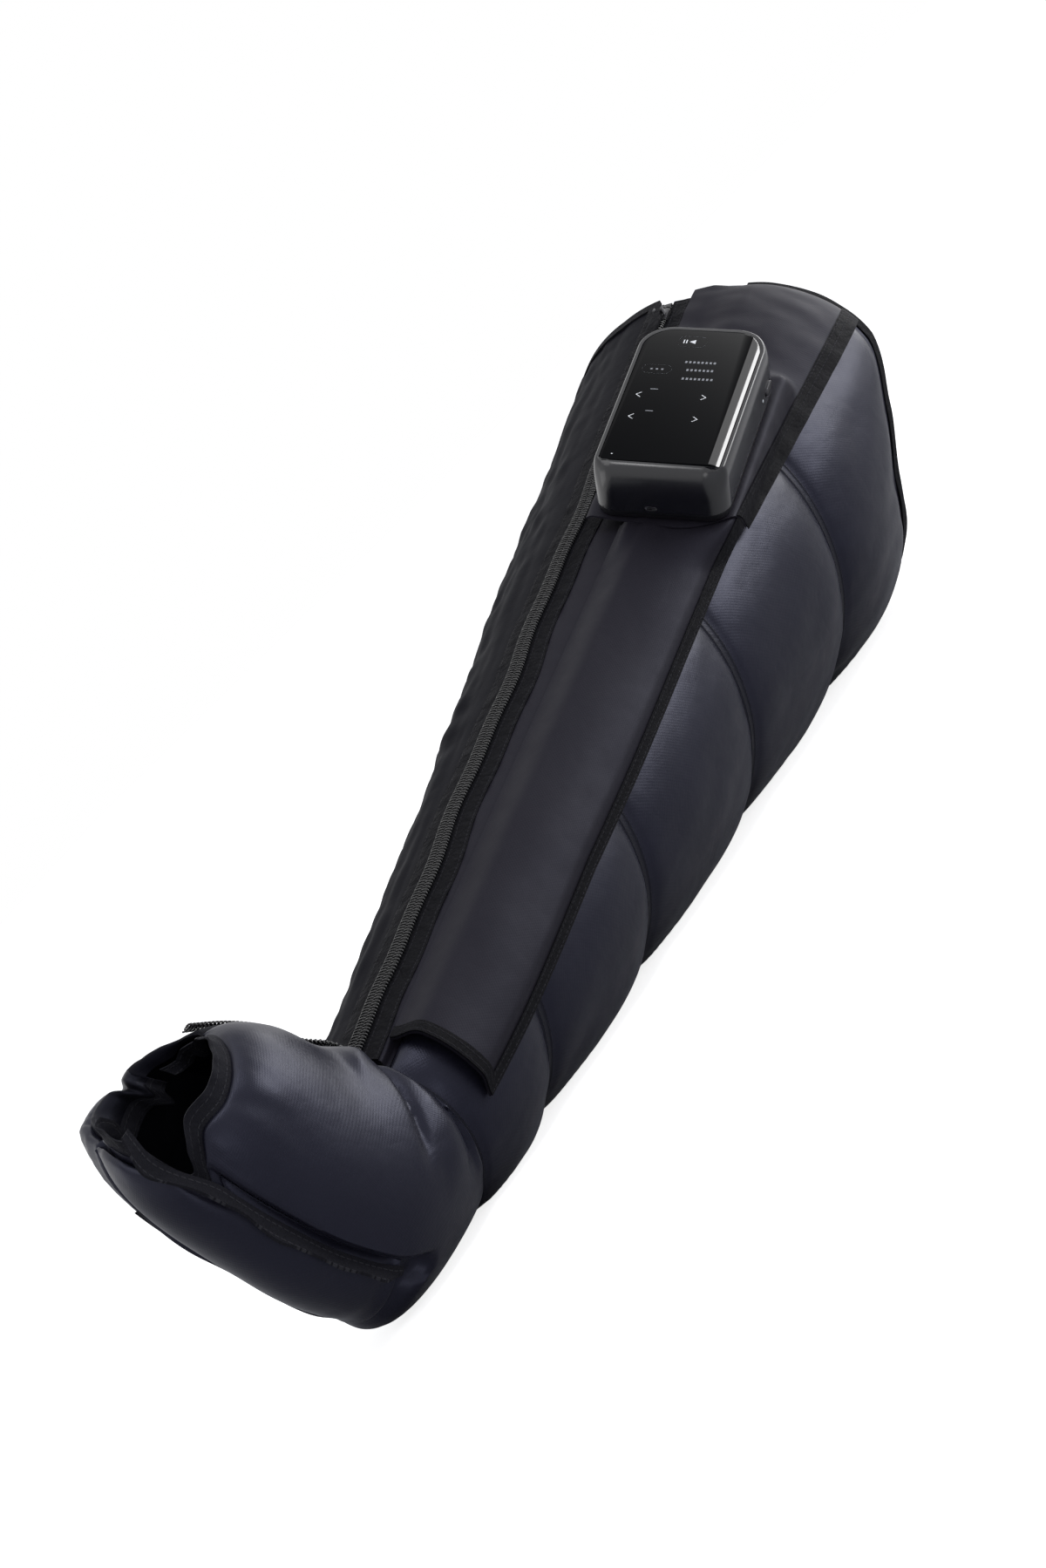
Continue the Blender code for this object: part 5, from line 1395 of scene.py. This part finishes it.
@dataclass
class UnitForm:
    """Sizes and frame of the control unit, as the CAD has them."""

    x: float = 0.726
    angle: float = 53.6
    twist: float = 3.5
    roll: float = -7.4
    lift: float = 0.0085
    length: float = 0.176
    width: float = 0.097
    height: float = 0.043
    glass_length: float = 0.1595
    glass_width: float = 0.087
    glass_corner: float = 0.022
    glass_foot_corner: float = 0.004
    glass_along: float = 0.00225
    glass_low: float = 0.0402
    roll_radius: float = 0.0155
    roll_width: float = 0.0088

    def frame(self) -> Matrix:
        """The unit's own frame: its underside's middle, X towards the thigh, Z away from the leg."""
        seat = LEG.frame_at(self.x, self.angle, self.lift, self.twist)
        return seat @ Matrix.Rotation(math.radians(self.roll), 4, "X")

    def tent(self, x: float, angle: float, base: float) -> float:
        """Level of cloth that lies at a base level and is lifted to the unit's underside.

        Args:
            x: Place along the leg.
            angle: Degrees from the shin line.
            base: The cloth's level away from the unit.

        Returns:
            The cloth's level at this place.
        """
        foot = LEG.point(x, angle, 0.0)
        out = LEG.point(x, angle, 1.0) - foot
        normal = UNIT_FRAME.col[2].to_3d()
        height = (UNIT_FRAME.translation - foot).dot(normal) / out.dot(normal)
        beyond = self.beyond(x, angle, height)
        return base + max(height - base, 0.0) * eased(1.0 - beyond / 0.024)

    def face(self, y: float) -> float:
        """Height of the display's face at a place across the unit: flat, and rolled down at the calf side."""
        over = max(self.roll_width - self.glass_width / 2 - y, 0.0)
        return self.height - self.roll_radius + math.sqrt(self.roll_radius ** 2 - min(over, self.roll_width) ** 2)

    def beyond(self, x: float, angle: float, height: float) -> float:
        """How far outside the unit's footprint a place lies."""
        spot = UNIT_BACK @ LEG.point(x, angle, height)
        return Vector((max(abs(spot.x) - self.length / 2, 0.0), max(abs(spot.y) - self.width / 2, 0.0))).length


UNIT = UnitForm()
UNIT_FRAME = UNIT.frame()
UNIT_BACK = UNIT_FRAME.inverted()


@dataclass
class Cover:
    """The long flap over the air hoses, and its ribbon."""

    finishes: Finishes
    bottom: float = 0.130
    top: float = 0.6335
    slant: float = 0.042
    power: float = 3.0
    root: float = 41.5
    places: tuple[float, ...] = (0.130, 0.330, 0.690)
    angles: tuple[float, ...] = (104.0, 93.0, 80.0)
    rise: float = 0.0064
    thick: float = 0.0016
    ribbon_width: float = 0.0090
    tuck: float = 0.0070
    lead: float = 0.0450

    def end(self, angle: float) -> float:
        """Where the flap's upper end lies at an angle round the leg."""
        share = min(max((angle - 53.6) / (81.0 - 53.6), 0.0), 1.0)
        return self.top + self.slant * share ** self.power

    def level(self, share: float) -> float:
        """Level of the flap's under face at a share of its width."""
        root = LEG.front - LEG.cloth
        fall = eased((share - 0.80) / 0.20)
        return root + (self.rise - root) * eased(share / 0.28) - (self.rise - 0.0006) * fall

    def spot(self, along_share: float, across_share: float, lift: float) -> Vector:
        """A point on the flap, with its slow waves."""
        x = self.bottom
        for _ in range(3):
            angle = self.root + (along(self.places, self.angles, x) - self.root) * across_share
            x = self.bottom + (self.end(angle) + self.tuck - self.bottom) * along_share
        fade = eased(across_share / 0.2)
        wave = 0.0022 * ripple(math.radians(angle) * LEG.radius(x), x, 0.040, 101.0) * fade * (1.0 - 0.7 * across_share)
        level = self.level(across_share) + max(wave, -0.0006)
        under = UNIT.tent(self.end(angle) + 0.004, angle, 0.0078) - self.thick - 0.0019
        rise = eased((x - self.end(angle) + self.lead) / self.lead) * eased(across_share / 0.12)
        return LEG.point(x, angle, level + max(under - level, 0.0) * rise + lift)

    def build(self) -> None:
        """Make the flap and its ribbon."""
        alongs = spread(0.0, 1.0, 120)
        acrosses = spread(0.0, 1.0, 44)

        def cloth(a: float, b: float, side: int) -> Vector:
            return self.spot(a, b, self.thick if side else 0.0)

        strip = skin(alongs, acrosses, cloth)
        made = finished("cover_flap_sheet", strip, self.finishes.flap, None,
                        ["cover_flap", "flap_top_end"])
        inner_along = self.ribbon_width / (self.top - self.bottom)
        inner_across = 0.90
        steps = [(s, 1.0) for s in reversed(spread(0.0, 1.0, 120))]
        steps += [(0.0, s) for s in reversed(spread(0.0, 0.985, 40))]

        def ribbon(step: float, share: float, side: int) -> Vector:
            edge = Vector(steps[int(step)])
            inner = Vector((max(edge.x, inner_along), min(edge.y, inner_across)))
            spot = edge.lerp(inner, share)
            return self.spot(spot.x, spot.y, self.thick + 0.0003 + (0.0009 if side else 0.0))

        strip = skin([float(k) for k in range(len(steps))], spread(0.0, 1.0, 6), ribbon)
        finished("cover_flap_binding", strip, self.finishes.binding, None, ["cover_flap_ribbon"])


@dataclass
class Panel:
    """The cloth panel that carries the control unit, and its ribbon."""

    finishes: Finishes
    cover: Cover
    start: float = 31.0
    end: float = 81.0
    hem_level: float = -0.0080
    rest: float = 0.0078

    def bottom(self, angle: float) -> float:
        """Where the panel's lower edge lies at an angle."""
        return self.cover.end(angle) + 0.0010

    def base(self, angle: float) -> float:
        """Level of the panel's upper face away from the unit."""
        root = LEG.front + 0.0003 + LEG.cloth
        return root + (self.rest - root) * eased((angle - self.start - 6.0) / 14.0)

    def level(self, x: float, angle: float) -> float:
        """Level of the panel's upper face: flat under the unit, and falling to the leg round it."""
        level = UNIT.tent(x, angle, self.base(angle))
        start = LEG.seam(LEG.seams[4], angle)
        share = (x - start) / (LEG.hem(angle) - LEG.hem_ribbon / 2 - start)
        edge = max(self.hem_level, LEG.front_level(angle) + LEG.cloth + 0.0006)
        made = edge + (level - edge) * crown(min(max(share, 0.5), 1.0))
        free = eased(UNIT.beyond(x, angle, level) / 0.012) * eased((1.0 - share) / 0.1)
        return made + free * 0.0016 * ripple(x, math.radians(angle) * LEG.radius(x), 0.020, 111.0)

    def build(self) -> None:
        """Make the panel and its ribbon."""
        angles = spread(self.start, self.end, 70)

        def cloth(share: float, angle: float, side: int) -> Vector:
            top = LEG.hem(angle) - LEG.hem_ribbon / 2
            x = self.bottom(angle) + (top - self.bottom(angle)) * share
            return LEG.point(x, angle, self.level(x, angle) - (0.0 if side else LEG.cloth))

        bm = skin(spread(0.0, 1.0, 120), angles, cloth)
        hidden = []
        for face in bm.faces:
            spot = UNIT_BACK @ face.calc_center_median()
            if abs(spot.x + 0.028) < 0.016 and abs(spot.y + 0.020) < 0.019:
                hidden.append(face)
        bmesh.ops.delete(bm, geom=hidden, context="FACES")
        bmesh.ops.bridge_loops(bm, edges=[e for e in bm.edges if e.is_boundary])
        bmesh.ops.recalc_face_normals(bm, faces=bm.faces)
        made = finished("unit_panel_sheet", bm, self.finishes.flap, Body.BOOT, ["unit_panel"])

        def ribbon(share: float, angle: float, side: int) -> Vector:
            top = LEG.hem(angle) - LEG.hem_ribbon / 2
            x = self.bottom(angle) + (top - self.bottom(angle)) * share
            level = self.level(x, angle) + 0.0003
            return LEG.point(x, angle, level + (0.0009 if side else 0.0))

        strip = skin(spread(0.0, 1.0, 120), spread(76.2, 82.0, 8), ribbon)
        finished("unit_panel_binding", strip, self.finishes.binding, Body.BOOT, ["unit_panel_ribbon"])


@dataclass
class Hems:
    """The ribbons round the thigh opening."""

    finishes: Finishes
    thick: float = 0.0036

    def build(self) -> None:
        """Make both hem ribbons as rolled bindings."""
        angles = spread(LEG.start, LEG.end + 0.8, 220)

        def thigh(angle: float, share: float, side: int) -> Vector:
            x = LEG.hem(angle) - LEG.hem_ribbon / 2 + 0.0003 + (LEG.hem_ribbon - 0.0003) * share
            half = self.thick / 2 * (0.35 + 0.65 * math.sqrt(max(0.0, 1.0 - share ** 4)))
            wave = 0.0008 * noise.noise(Vector((angle / 9.0, share, 121.0)))
            return LEG.point(x, angle, -LEG.seam_depth - LEG.web / 2 + wave + (half if side else -half))

        strip = skin(angles, spread(0.0, 1.0, 9), thigh)
        finished("thigh_hem_binding", strip, self.finishes.hem, Body.BOOT, ["thigh_hem_ribbon"])

        def front(share: float, x: float, side: int) -> Vector:
            end = LEG.zip_offset(LEG.zip_top, -LEG.chain_width / 2 - LEG.tape_width / 2)
            angle = LEG.gusset_start + (end - LEG.gusset_start) * share
            level = LEG.front_level(angle) - LEG.cloth / 2
            return LEG.point(x, angle, level + (self.thick / 2 if side else -self.thick / 2))

        strip = skin(spread(0.0, 1.0, 70), spread(LEG.zip_top + 0.0003, LEG.zip_top + LEG.hem_ribbon, 7), front)
        finished("front_hem_binding", strip, self.finishes.hem, Body.BOOT, ["gusset_hem_ribbon"])


def rounded_outline(length: float, width: float, radius: float, steps: int,
                    near: Optional[float] = None) -> list[Vector]:
    """Points of a rectangle with round corners, counter-clockwise, centred on the origin.

    Args:
        length: Its size along X.
        width: Its size along Y.
        radius: The corners' radius.
        steps: Steps round each corner.
        near: The radius of the corners at the lower X, if it differs.

    Returns:
        The points in order.
    """
    points = []
    small = radius if near is None else near
    for sx, sy, start, r in ((1, 1, 0, radius), (-1, 1, 90, small), (-1, -1, 180, small), (1, -1, 270, radius)):
        middle = Vector((sx * (length / 2 - r), sy * (width / 2 - r)))
        for k in range(steps + 1):
            turn = math.radians(start + 90.0 * k / steps)
            points.append(middle + Vector((math.cos(turn), math.sin(turn))) * r)
    return points


def smooth_copy(node: str, angle: float, bevel: float) -> bmesh.types.BMesh:
    """A merged copy of a CAD node's mesh, its sharp edges broken by a fine bevel.

    Args:
        node: The CAD node.
        angle: Edges sharper than this, in degrees, are bevelled.
        bevel: Width of the bevel.

    Returns:
        The copy as a bmesh.
    """
    bm = bmesh.new()
    bm.from_mesh(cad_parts[node].data)
    bmesh.ops.remove_doubles(bm, verts=bm.verts, dist=0.00002)
    bmesh.ops.dissolve_limit(bm, angle_limit=math.radians(0.5), verts=bm.verts, edges=bm.edges)
    if bevel:
        edges = [e for e in bm.edges if e.is_manifold and e.calc_face_angle(0.0) > math.radians(angle)]
        bmesh.ops.bevel(bm, geom=edges, offset=bevel, offset_type="OFFSET", segments=2, profile=0.5,
                        affect="EDGES", material=-1, clamp_overlap=True)
    return bm


def tower(rings: Sequence[Sequence[Vector]], looped: bool = False) -> bmesh.types.BMesh:
    """Stack rings of points into one skin.

    Args:
        rings: The rings, each with as many points in the same order.
        looped: Whether the last ring joins the first, or both ends are filled.

    Returns:
        The closed shape.
    """
    bm = bmesh.new()
    order = {bm.verts.new(p): k for k, p in enumerate(rings[0])}
    verts = list(order)
    edges = [bm.edges.new((verts[k - 1], verts[k])) for k in range(len(verts))]
    first = list(edges)
    for ring in rings[1:]:
        grown = bmesh.ops.extrude_edge_only(bm, edges=edges)["geom"]
        made = {}
        for vert in (e for e in grown if isinstance(e, bmesh.types.BMVert)):
            twin = next(e.other_vert(vert) for e in vert.link_edges if e.other_vert(vert) in order)
            made[vert] = order[twin]
        for vert, k in made.items():
            vert.co = ring[k]
        edges = [e for e in grown if isinstance(e, bmesh.types.BMEdge)]
        order = made
    if looped:
        bmesh.ops.bridge_loops(bm, edges=first + edges)
    else:
        bmesh.ops.holes_fill(bm, edges=first)
        bmesh.ops.holes_fill(bm, edges=edges)
    bmesh.ops.recalc_face_normals(bm, faces=bm.faces)
    return bm


def cut(bm: bmesh.types.BMesh, boxes: Sequence[tuple[Vector, Vector]]) -> bmesh.types.BMesh:
    """Cut boxes out of a shape in the unit's own frame.

    Args:
        bm: The shape, which is freed.
        boxes: Lowest and highest corner of each box.

    Returns:
        What is left.
    """
    parts = []
    for k, shape in enumerate([bm] + [bmesh.new() for _ in boxes]):
        if k:
            low, high = boxes[k - 1]
            bmesh.ops.create_cube(shape, size=1.0)
            bmesh.ops.scale(shape, vec=high - low, verts=shape.verts)
            bmesh.ops.translate(shape, vec=(low + high) / 2, verts=shape.verts)
        mesh = bpy.data.meshes.new("cut")
        shape.to_mesh(mesh)
        shape.free()
        made = bpy.data.objects.new("cut", mesh)
        bpy.context.scene.collection.objects.link(made)
        parts.append(made)
    for cutter in parts[1:]:
        change = parts[0].modifiers.new("cut", "BOOLEAN")
        change.operation = "DIFFERENCE"
        change.object = cutter
    bpy.context.view_layer.update()
    mesh = bpy.data.meshes.new_from_object(parts[0].evaluated_get(bpy.context.evaluated_depsgraph_get()))
    for made in parts:
        bpy.data.objects.remove(made)
    left = bmesh.new()
    left.from_mesh(mesh)
    bpy.data.meshes.remove(mesh)
    return left


@dataclass
class ControlUnit:
    """The control unit: shells, glass with its marks, button, lamp and port.

    Attributes:
        finishes: The finishes.
        corner: Radius of the frame's corners at the thigh end.
        nose_corner: Radius of its corners at the nose.
        corner_steps: Steps round each corner.
        rim_reach: How far the frame's rim rounds inwards.
        nose_reach: How much further it does so at the nose.
        calf_reach: How much further it does so at the calf side.
        rim_rise: Height of the rim's rounding.
        nose_rise: How much higher that is at the nose.
        glass_gap: Gap round the glass, both sides together.
        foot: Height of the frame's lower edge.
        belt: Height up to which its wall is flat.
        seat: Height of the glass's seat.
        ledge: Width of that seat from the outside.
        wall: Thickness of the frame's wall.
    """

    finishes: Finishes
    corner: float = 0.026
    nose_corner: float = 0.016
    corner_steps: int = 16
    rim_reach: float = 0.0030
    nose_reach: float = 0.0066
    calf_reach: float = 0.0004
    rim_rise: float = 0.0110
    nose_rise: float = 0.0110
    glass_gap: float = 0.0005
    foot: float = 0.0063
    belt: float = 0.0150
    seat: float = 0.0398
    ledge: float = 0.0110
    wall: float = 0.0024

    def build(self) -> None:
        """Make the unit's visible pieces."""
        self.shells()
        self.glass()
        self.marks()

    def shells(self) -> None:
        """Make the frame, and smooth copies of the base and the button."""
        looks = self.finishes
        base = smooth_copy("unit_base", 35.0, 0.0003)
        button = smooth_copy("side_button", 35.0, 0.0002)
        finished("unit_frame_shell", self.frame_shell(), looks.shell, Body.UNIT, ["unit_frame"], 42.0)
        finished("unit_base_shell", base, looks.plastic, Body.UNIT, ["unit_base"], 30.0)
        finished("side_button_cap", button, looks.dark_metal, Body.BUTTON, ["side_button"], 30.0)

    @staticmethod
    def outwards(outline: Sequence[Vector]) -> list[Vector]:
        """Outward normals at the points of an outline."""
        made = []
        for k in range(len(outline)):
            step = outline[(k + 1) % len(outline)] - outline[k - 1]
            made.append(Vector((step.y, -step.x)).normalized())
        return made

    def frame_shell(self) -> bmesh.types.BMesh:
        """Make the moulded frame: upright walls that round over to the glass, more so at the nose."""
        outline = rounded_outline(UNIT.length, UNIT.width, self.corner, self.corner_steps, self.nose_corner)
        normals = self.outwards(outline)
        length, width = UNIT.glass_length + self.glass_gap, UNIT.glass_width + self.glass_gap
        pane = rounded_outline(length, width, UNIT.glass_corner, self.corner_steps, UNIT.glass_foot_corner)
        pane = [p + Vector((UNIT.glass_along, 0.0)) for p in pane]

        def ring(turn: float) -> list[Vector]:
            points = []
            for spot, normal, near in zip(outline, normals, pane):
                nose, calf = eased(-normal.x * 1.3), eased(-normal.y * 1.3)
                reach = self.rim_reach + self.nose_reach * nose + self.calf_reach * calf
                rise = self.rim_rise + self.nose_rise * nose
                top = UNIT.face(near.y) - 0.0002
                inset = reach * (1.0 - math.cos(turn))
                points.append(Vector((*(spot - normal * inset), top - rise * (1.0 - math.sin(turn)))))
            return points

        def level(points: Sequence[Vector], heights: Sequence[float]) -> list[Vector]:
            return [Vector((p.x, p.y, z)) for p, z in zip(points, heights)]

        count = len(outline)
        rings = [level(outline, [self.foot] * count), level(outline, [self.belt] * count)]
        rings += [ring(turn) for turn in spread(0.0, math.pi / 2, 14)]
        tops = [p.z for p in rings[-1]]
        rings += [level(pane, tops), level(pane, [self.seat] * count)]
        inner = [spot - normal * self.ledge for spot, normal in zip(outline, normals)]
        wall = [spot - normal * self.wall for spot, normal in zip(outline, normals)]
        for points, height in ((inner, 0.0396), (inner, 0.0330), (wall, 0.0240), (wall, self.foot)):
            rings.append(level(points, [height] * count))
        gaps = (("side_button", 0.0003), ("charging_port", 0.0002), ("charge_lamp", 0.0001))
        boxes = [self.room(node, gap) for node, gap in gaps]
        boxes[1][0].x -= 0.004
        made = cut(tower(rings, looped=True), boxes)
        made.transform(UNIT_FRAME)
        return made

    @staticmethod
    def room(node: str, gap: float) -> tuple[Vector, Vector]:
        """The box round a CAD node in the unit's own frame, with a gap."""
        spots = [UNIT_BACK @ v.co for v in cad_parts[node].data.vertices]
        low = Vector([min(p[k] for p in spots) - gap for k in range(3)])
        high = Vector([max(p[k] for p in spots) + gap for k in range(3)])
        return low, high

    def glass(self) -> None:
        """Make the display glass, which curves down over its calf side."""
        corners = (UNIT.glass_corner, self.corner_steps, UNIT.glass_foot_corner)
        outline = rounded_outline(UNIT.glass_length, UNIT.glass_width, *corners)
        outline = [p + Vector((UNIT.glass_along, 0.0)) for p in outline]
        normals = self.outwards(outline)

        def ring(turn: float) -> list[Vector]:
            points = []
            limit = UNIT.roll_width * (1.0 - math.cos(turn)) - UNIT.glass_width / 2
            for spot, normal in zip(outline, normals):
                inner = spot - normal * (0.0006 * (1.0 - math.cos(turn)) * (1.0 - eased(-normal.y * 1.2)))
                inner.y = max(inner.y, limit)
                points.append(Vector((*inner, UNIT.face(limit) - 0.0004 * (1.0 - math.sin(turn)))))
            return points

        rings = [[Vector((*p, UNIT.glass_low)) for p in outline]]
        rings += [ring(turn) for turn in spread(0.02, math.pi / 2, 16)]
        bm = tower(rings)
        for face in bm.faces:
            spot = face.calc_center_median()
            rolled = UNIT.glass_low + 0.00005 < spot.z < UNIT.height - 0.00002 and 0.30 < face.normal.z < 0.9995
            face.material_index = 1 if rolled and abs(spot.x - UNIT.glass_along) < UNIT.glass_length / 2 - 0.0015 else 0
        bm.transform(UNIT_FRAME)
        finished("unit_glass_pane", bm, self.finishes.glass, Body.UNIT, ["unit_glass"], 60.0,
                 lining=self.finishes.glass_edge)

    def marks(self) -> None:
        """Make the printed marks: plain symbols and bars."""
        bm = bmesh.new()
        self.ring(bm, (0.0674, 0.0075), rounded_outline(0.0130, 0.0210, 0.0048, 6))
        self.ring(bm, (0.0321, 0.0261), rounded_outline(0.0105, 0.0215, 0.0050, 6))
        self.patch(bm, [(0.0649, 0.0052), (0.0699, 0.0052), (0.0674, 0.0098)])
        self.bar(bm, (0.0674, 0.0118), (0.0044, 0.0008))
        self.bar(bm, (0.0674, 0.0138), (0.0044, 0.0008))
        for x, y in ((0.0005, 0.0328), (-0.0258, 0.0324), (0.0006, -0.0157), (-0.0256, -0.0152)):
            self.chevron(bm, (x, y), math.copysign(1.0, y))
        self.bar(bm, (-0.0706, 0.0350), (0.0010, 0.0010))
        self.printed("unit_glass_marks", bm, self.finishes.mark)
        faint = bmesh.new()
        for x, y, letters in ((0.0423, -0.0039, 8), (0.0327, -0.0054, 7), (0.0220, -0.0058, 8)):
            for k in range(letters):
                self.bar(faint, (x, y + 0.0030 * (k - (letters - 1) / 2)), (0.0024, 0.0016))
        for x, y in ((0.0078, 0.0224), (-0.0184, 0.0201)):
            self.bar(faint, (x, y), (0.0008, 0.0056))
        for y in (0.0221, 0.0261, 0.0301):
            self.bar(faint, (0.0321, y), (0.0016, 0.0016))
        self.printed("unit_glass_labels", faint, self.finishes.faint_mark)

    @staticmethod
    def printed(name: str, bm: bmesh.types.BMesh, look: bpy.types.Material) -> None:
        """Give flat marks a film's thickness and lay them on the glass."""
        grown = bmesh.ops.extrude_face_region(bm, geom=bm.faces[:])
        raised = [e for e in grown["geom"] if isinstance(e, bmesh.types.BMVert)]
        bmesh.ops.translate(bm, verts=raised, vec=(0.0, 0.0, 0.00005))
        bmesh.ops.recalc_face_normals(bm, faces=bm.faces)
        bm.transform(UNIT_FRAME @ Matrix.Translation((0.0, 0.0, UNIT.height + 0.00002)))
        finished(name, bm, look, Body.UNIT, sharp=30.0)

    @staticmethod
    def ring(bm: bmesh.types.BMesh, middle: tuple[float, float], outline: list[Vector]) -> None:
        """Add a thin closed line round an outline."""
        face = bm.faces.new([bm.verts.new((middle[0] + p.x, middle[1] + p.y, 0.0)) for p in outline])
        bmesh.ops.inset_region(bm, faces=[face], thickness=0.0006, use_boundary=True, use_even_offset=True)
        bmesh.ops.delete(bm, geom=[face], context="FACES_ONLY")

    @staticmethod
    def patch(bm: bmesh.types.BMesh, corners: Sequence[tuple[float, float]]) -> None:
        """Add a flat filled shape."""
        bm.faces.new([bm.verts.new((x, y, 0.0)) for x, y in corners])

    def bar(self, bm: bmesh.types.BMesh, middle: tuple[float, float], size: tuple[float, float]) -> None:
        """Add a small filled bar."""
        x, y = middle
        a, b = size[0] / 2, size[1] / 2
        self.patch(bm, [(x - a, y - b), (x + a, y - b), (x + a, y + b), (x - a, y + b)])

    def chevron(self, bm: bmesh.types.BMesh, middle: tuple[float, float], turn: float) -> None:
        """Add an arrow head of two strokes, pointing along Y."""
        x, y = middle
        line, reach, half = 0.0009, 0.0034, 0.0029
        tip, foot = y + turn * reach / 2, y - turn * reach / 2
        near = [(x, tip), (x + half, foot), (x + half, foot - turn * line), (x, tip - turn * line)]
        far = [(x, tip), (x, tip - turn * line), (x - half, foot - turn * line), (x - half, foot)]
        for corners in (near, far):
            self.patch(bm, corners[:: int(turn)])


@dataclass
class ZipPull:
    """The slider's soft pull tab."""

    finishes: Finishes

    def build(self) -> None:
        """A smooth copy of the tab, its edges rounded."""
        tab = smooth_copy("zip_pull_tab", 35.0, 0.0006)
        finished("zip_pull_cord", tab, self.finishes.hem, Body.PULL, ["zip_pull_tab"], 40.0)
        slider = smooth_copy("zip_slider", 35.0, 0.0002)
        finished("zip_slider_body", slider, self.finishes.dark_metal, Body.SLIDER, ["zip_slider"], 30.0)


@dataclass
class KeptNodes:
    """The CAD nodes that stay, each with its own finish."""

    finishes: Finishes

    def dress(self) -> None:
        """Give each kept node its material."""
        places = ("knee", "calf_upper", "calf_lower", "thigh_lower", "thigh_upper")
        looks = {
            self.finishes.dark_metal: ("zip_top_stop",),
            self.finishes.plastic: ("dock_plate", "valve_block", *(f"inlet_{place}" for place in places)),
            self.finishes.hose: tuple(f"air_hose_{place}" for place in places),
            self.finishes.board: ("main_board", "touch_board"),
            self.finishes.lamp: ("charge_lamp",),
            self.finishes.cell: ("battery",),
            self.finishes.steel: ("air_pump", "charging_port", *(f"unit_screw_{k}" for k in range(1, 5))),
        }
        for look, names in looks.items():
            for name in names:
                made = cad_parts[name]
                made.data.materials.clear()
                made.data.materials.append(look)
                LOG.info("%s keeps its solid", name)


def main() -> None:
    """Build the scene in order."""
    logging.basicConfig(level=logging.INFO, format="%(name)s: %(message)s")
    Studio().build()
    finishes = Finishes()
    cover = Cover(finishes)
    LegChambers(finishes).build()
    Foot(finishes).build()
    Front(finishes).build()
    cover.build()
    Panel(finishes, cover).build()
    Hems(finishes).build()
    ControlUnit(finishes).build()
    ZipPull(finishes).build()
    KeptNodes(finishes).dress()


if __name__ == "__main__":
    main()
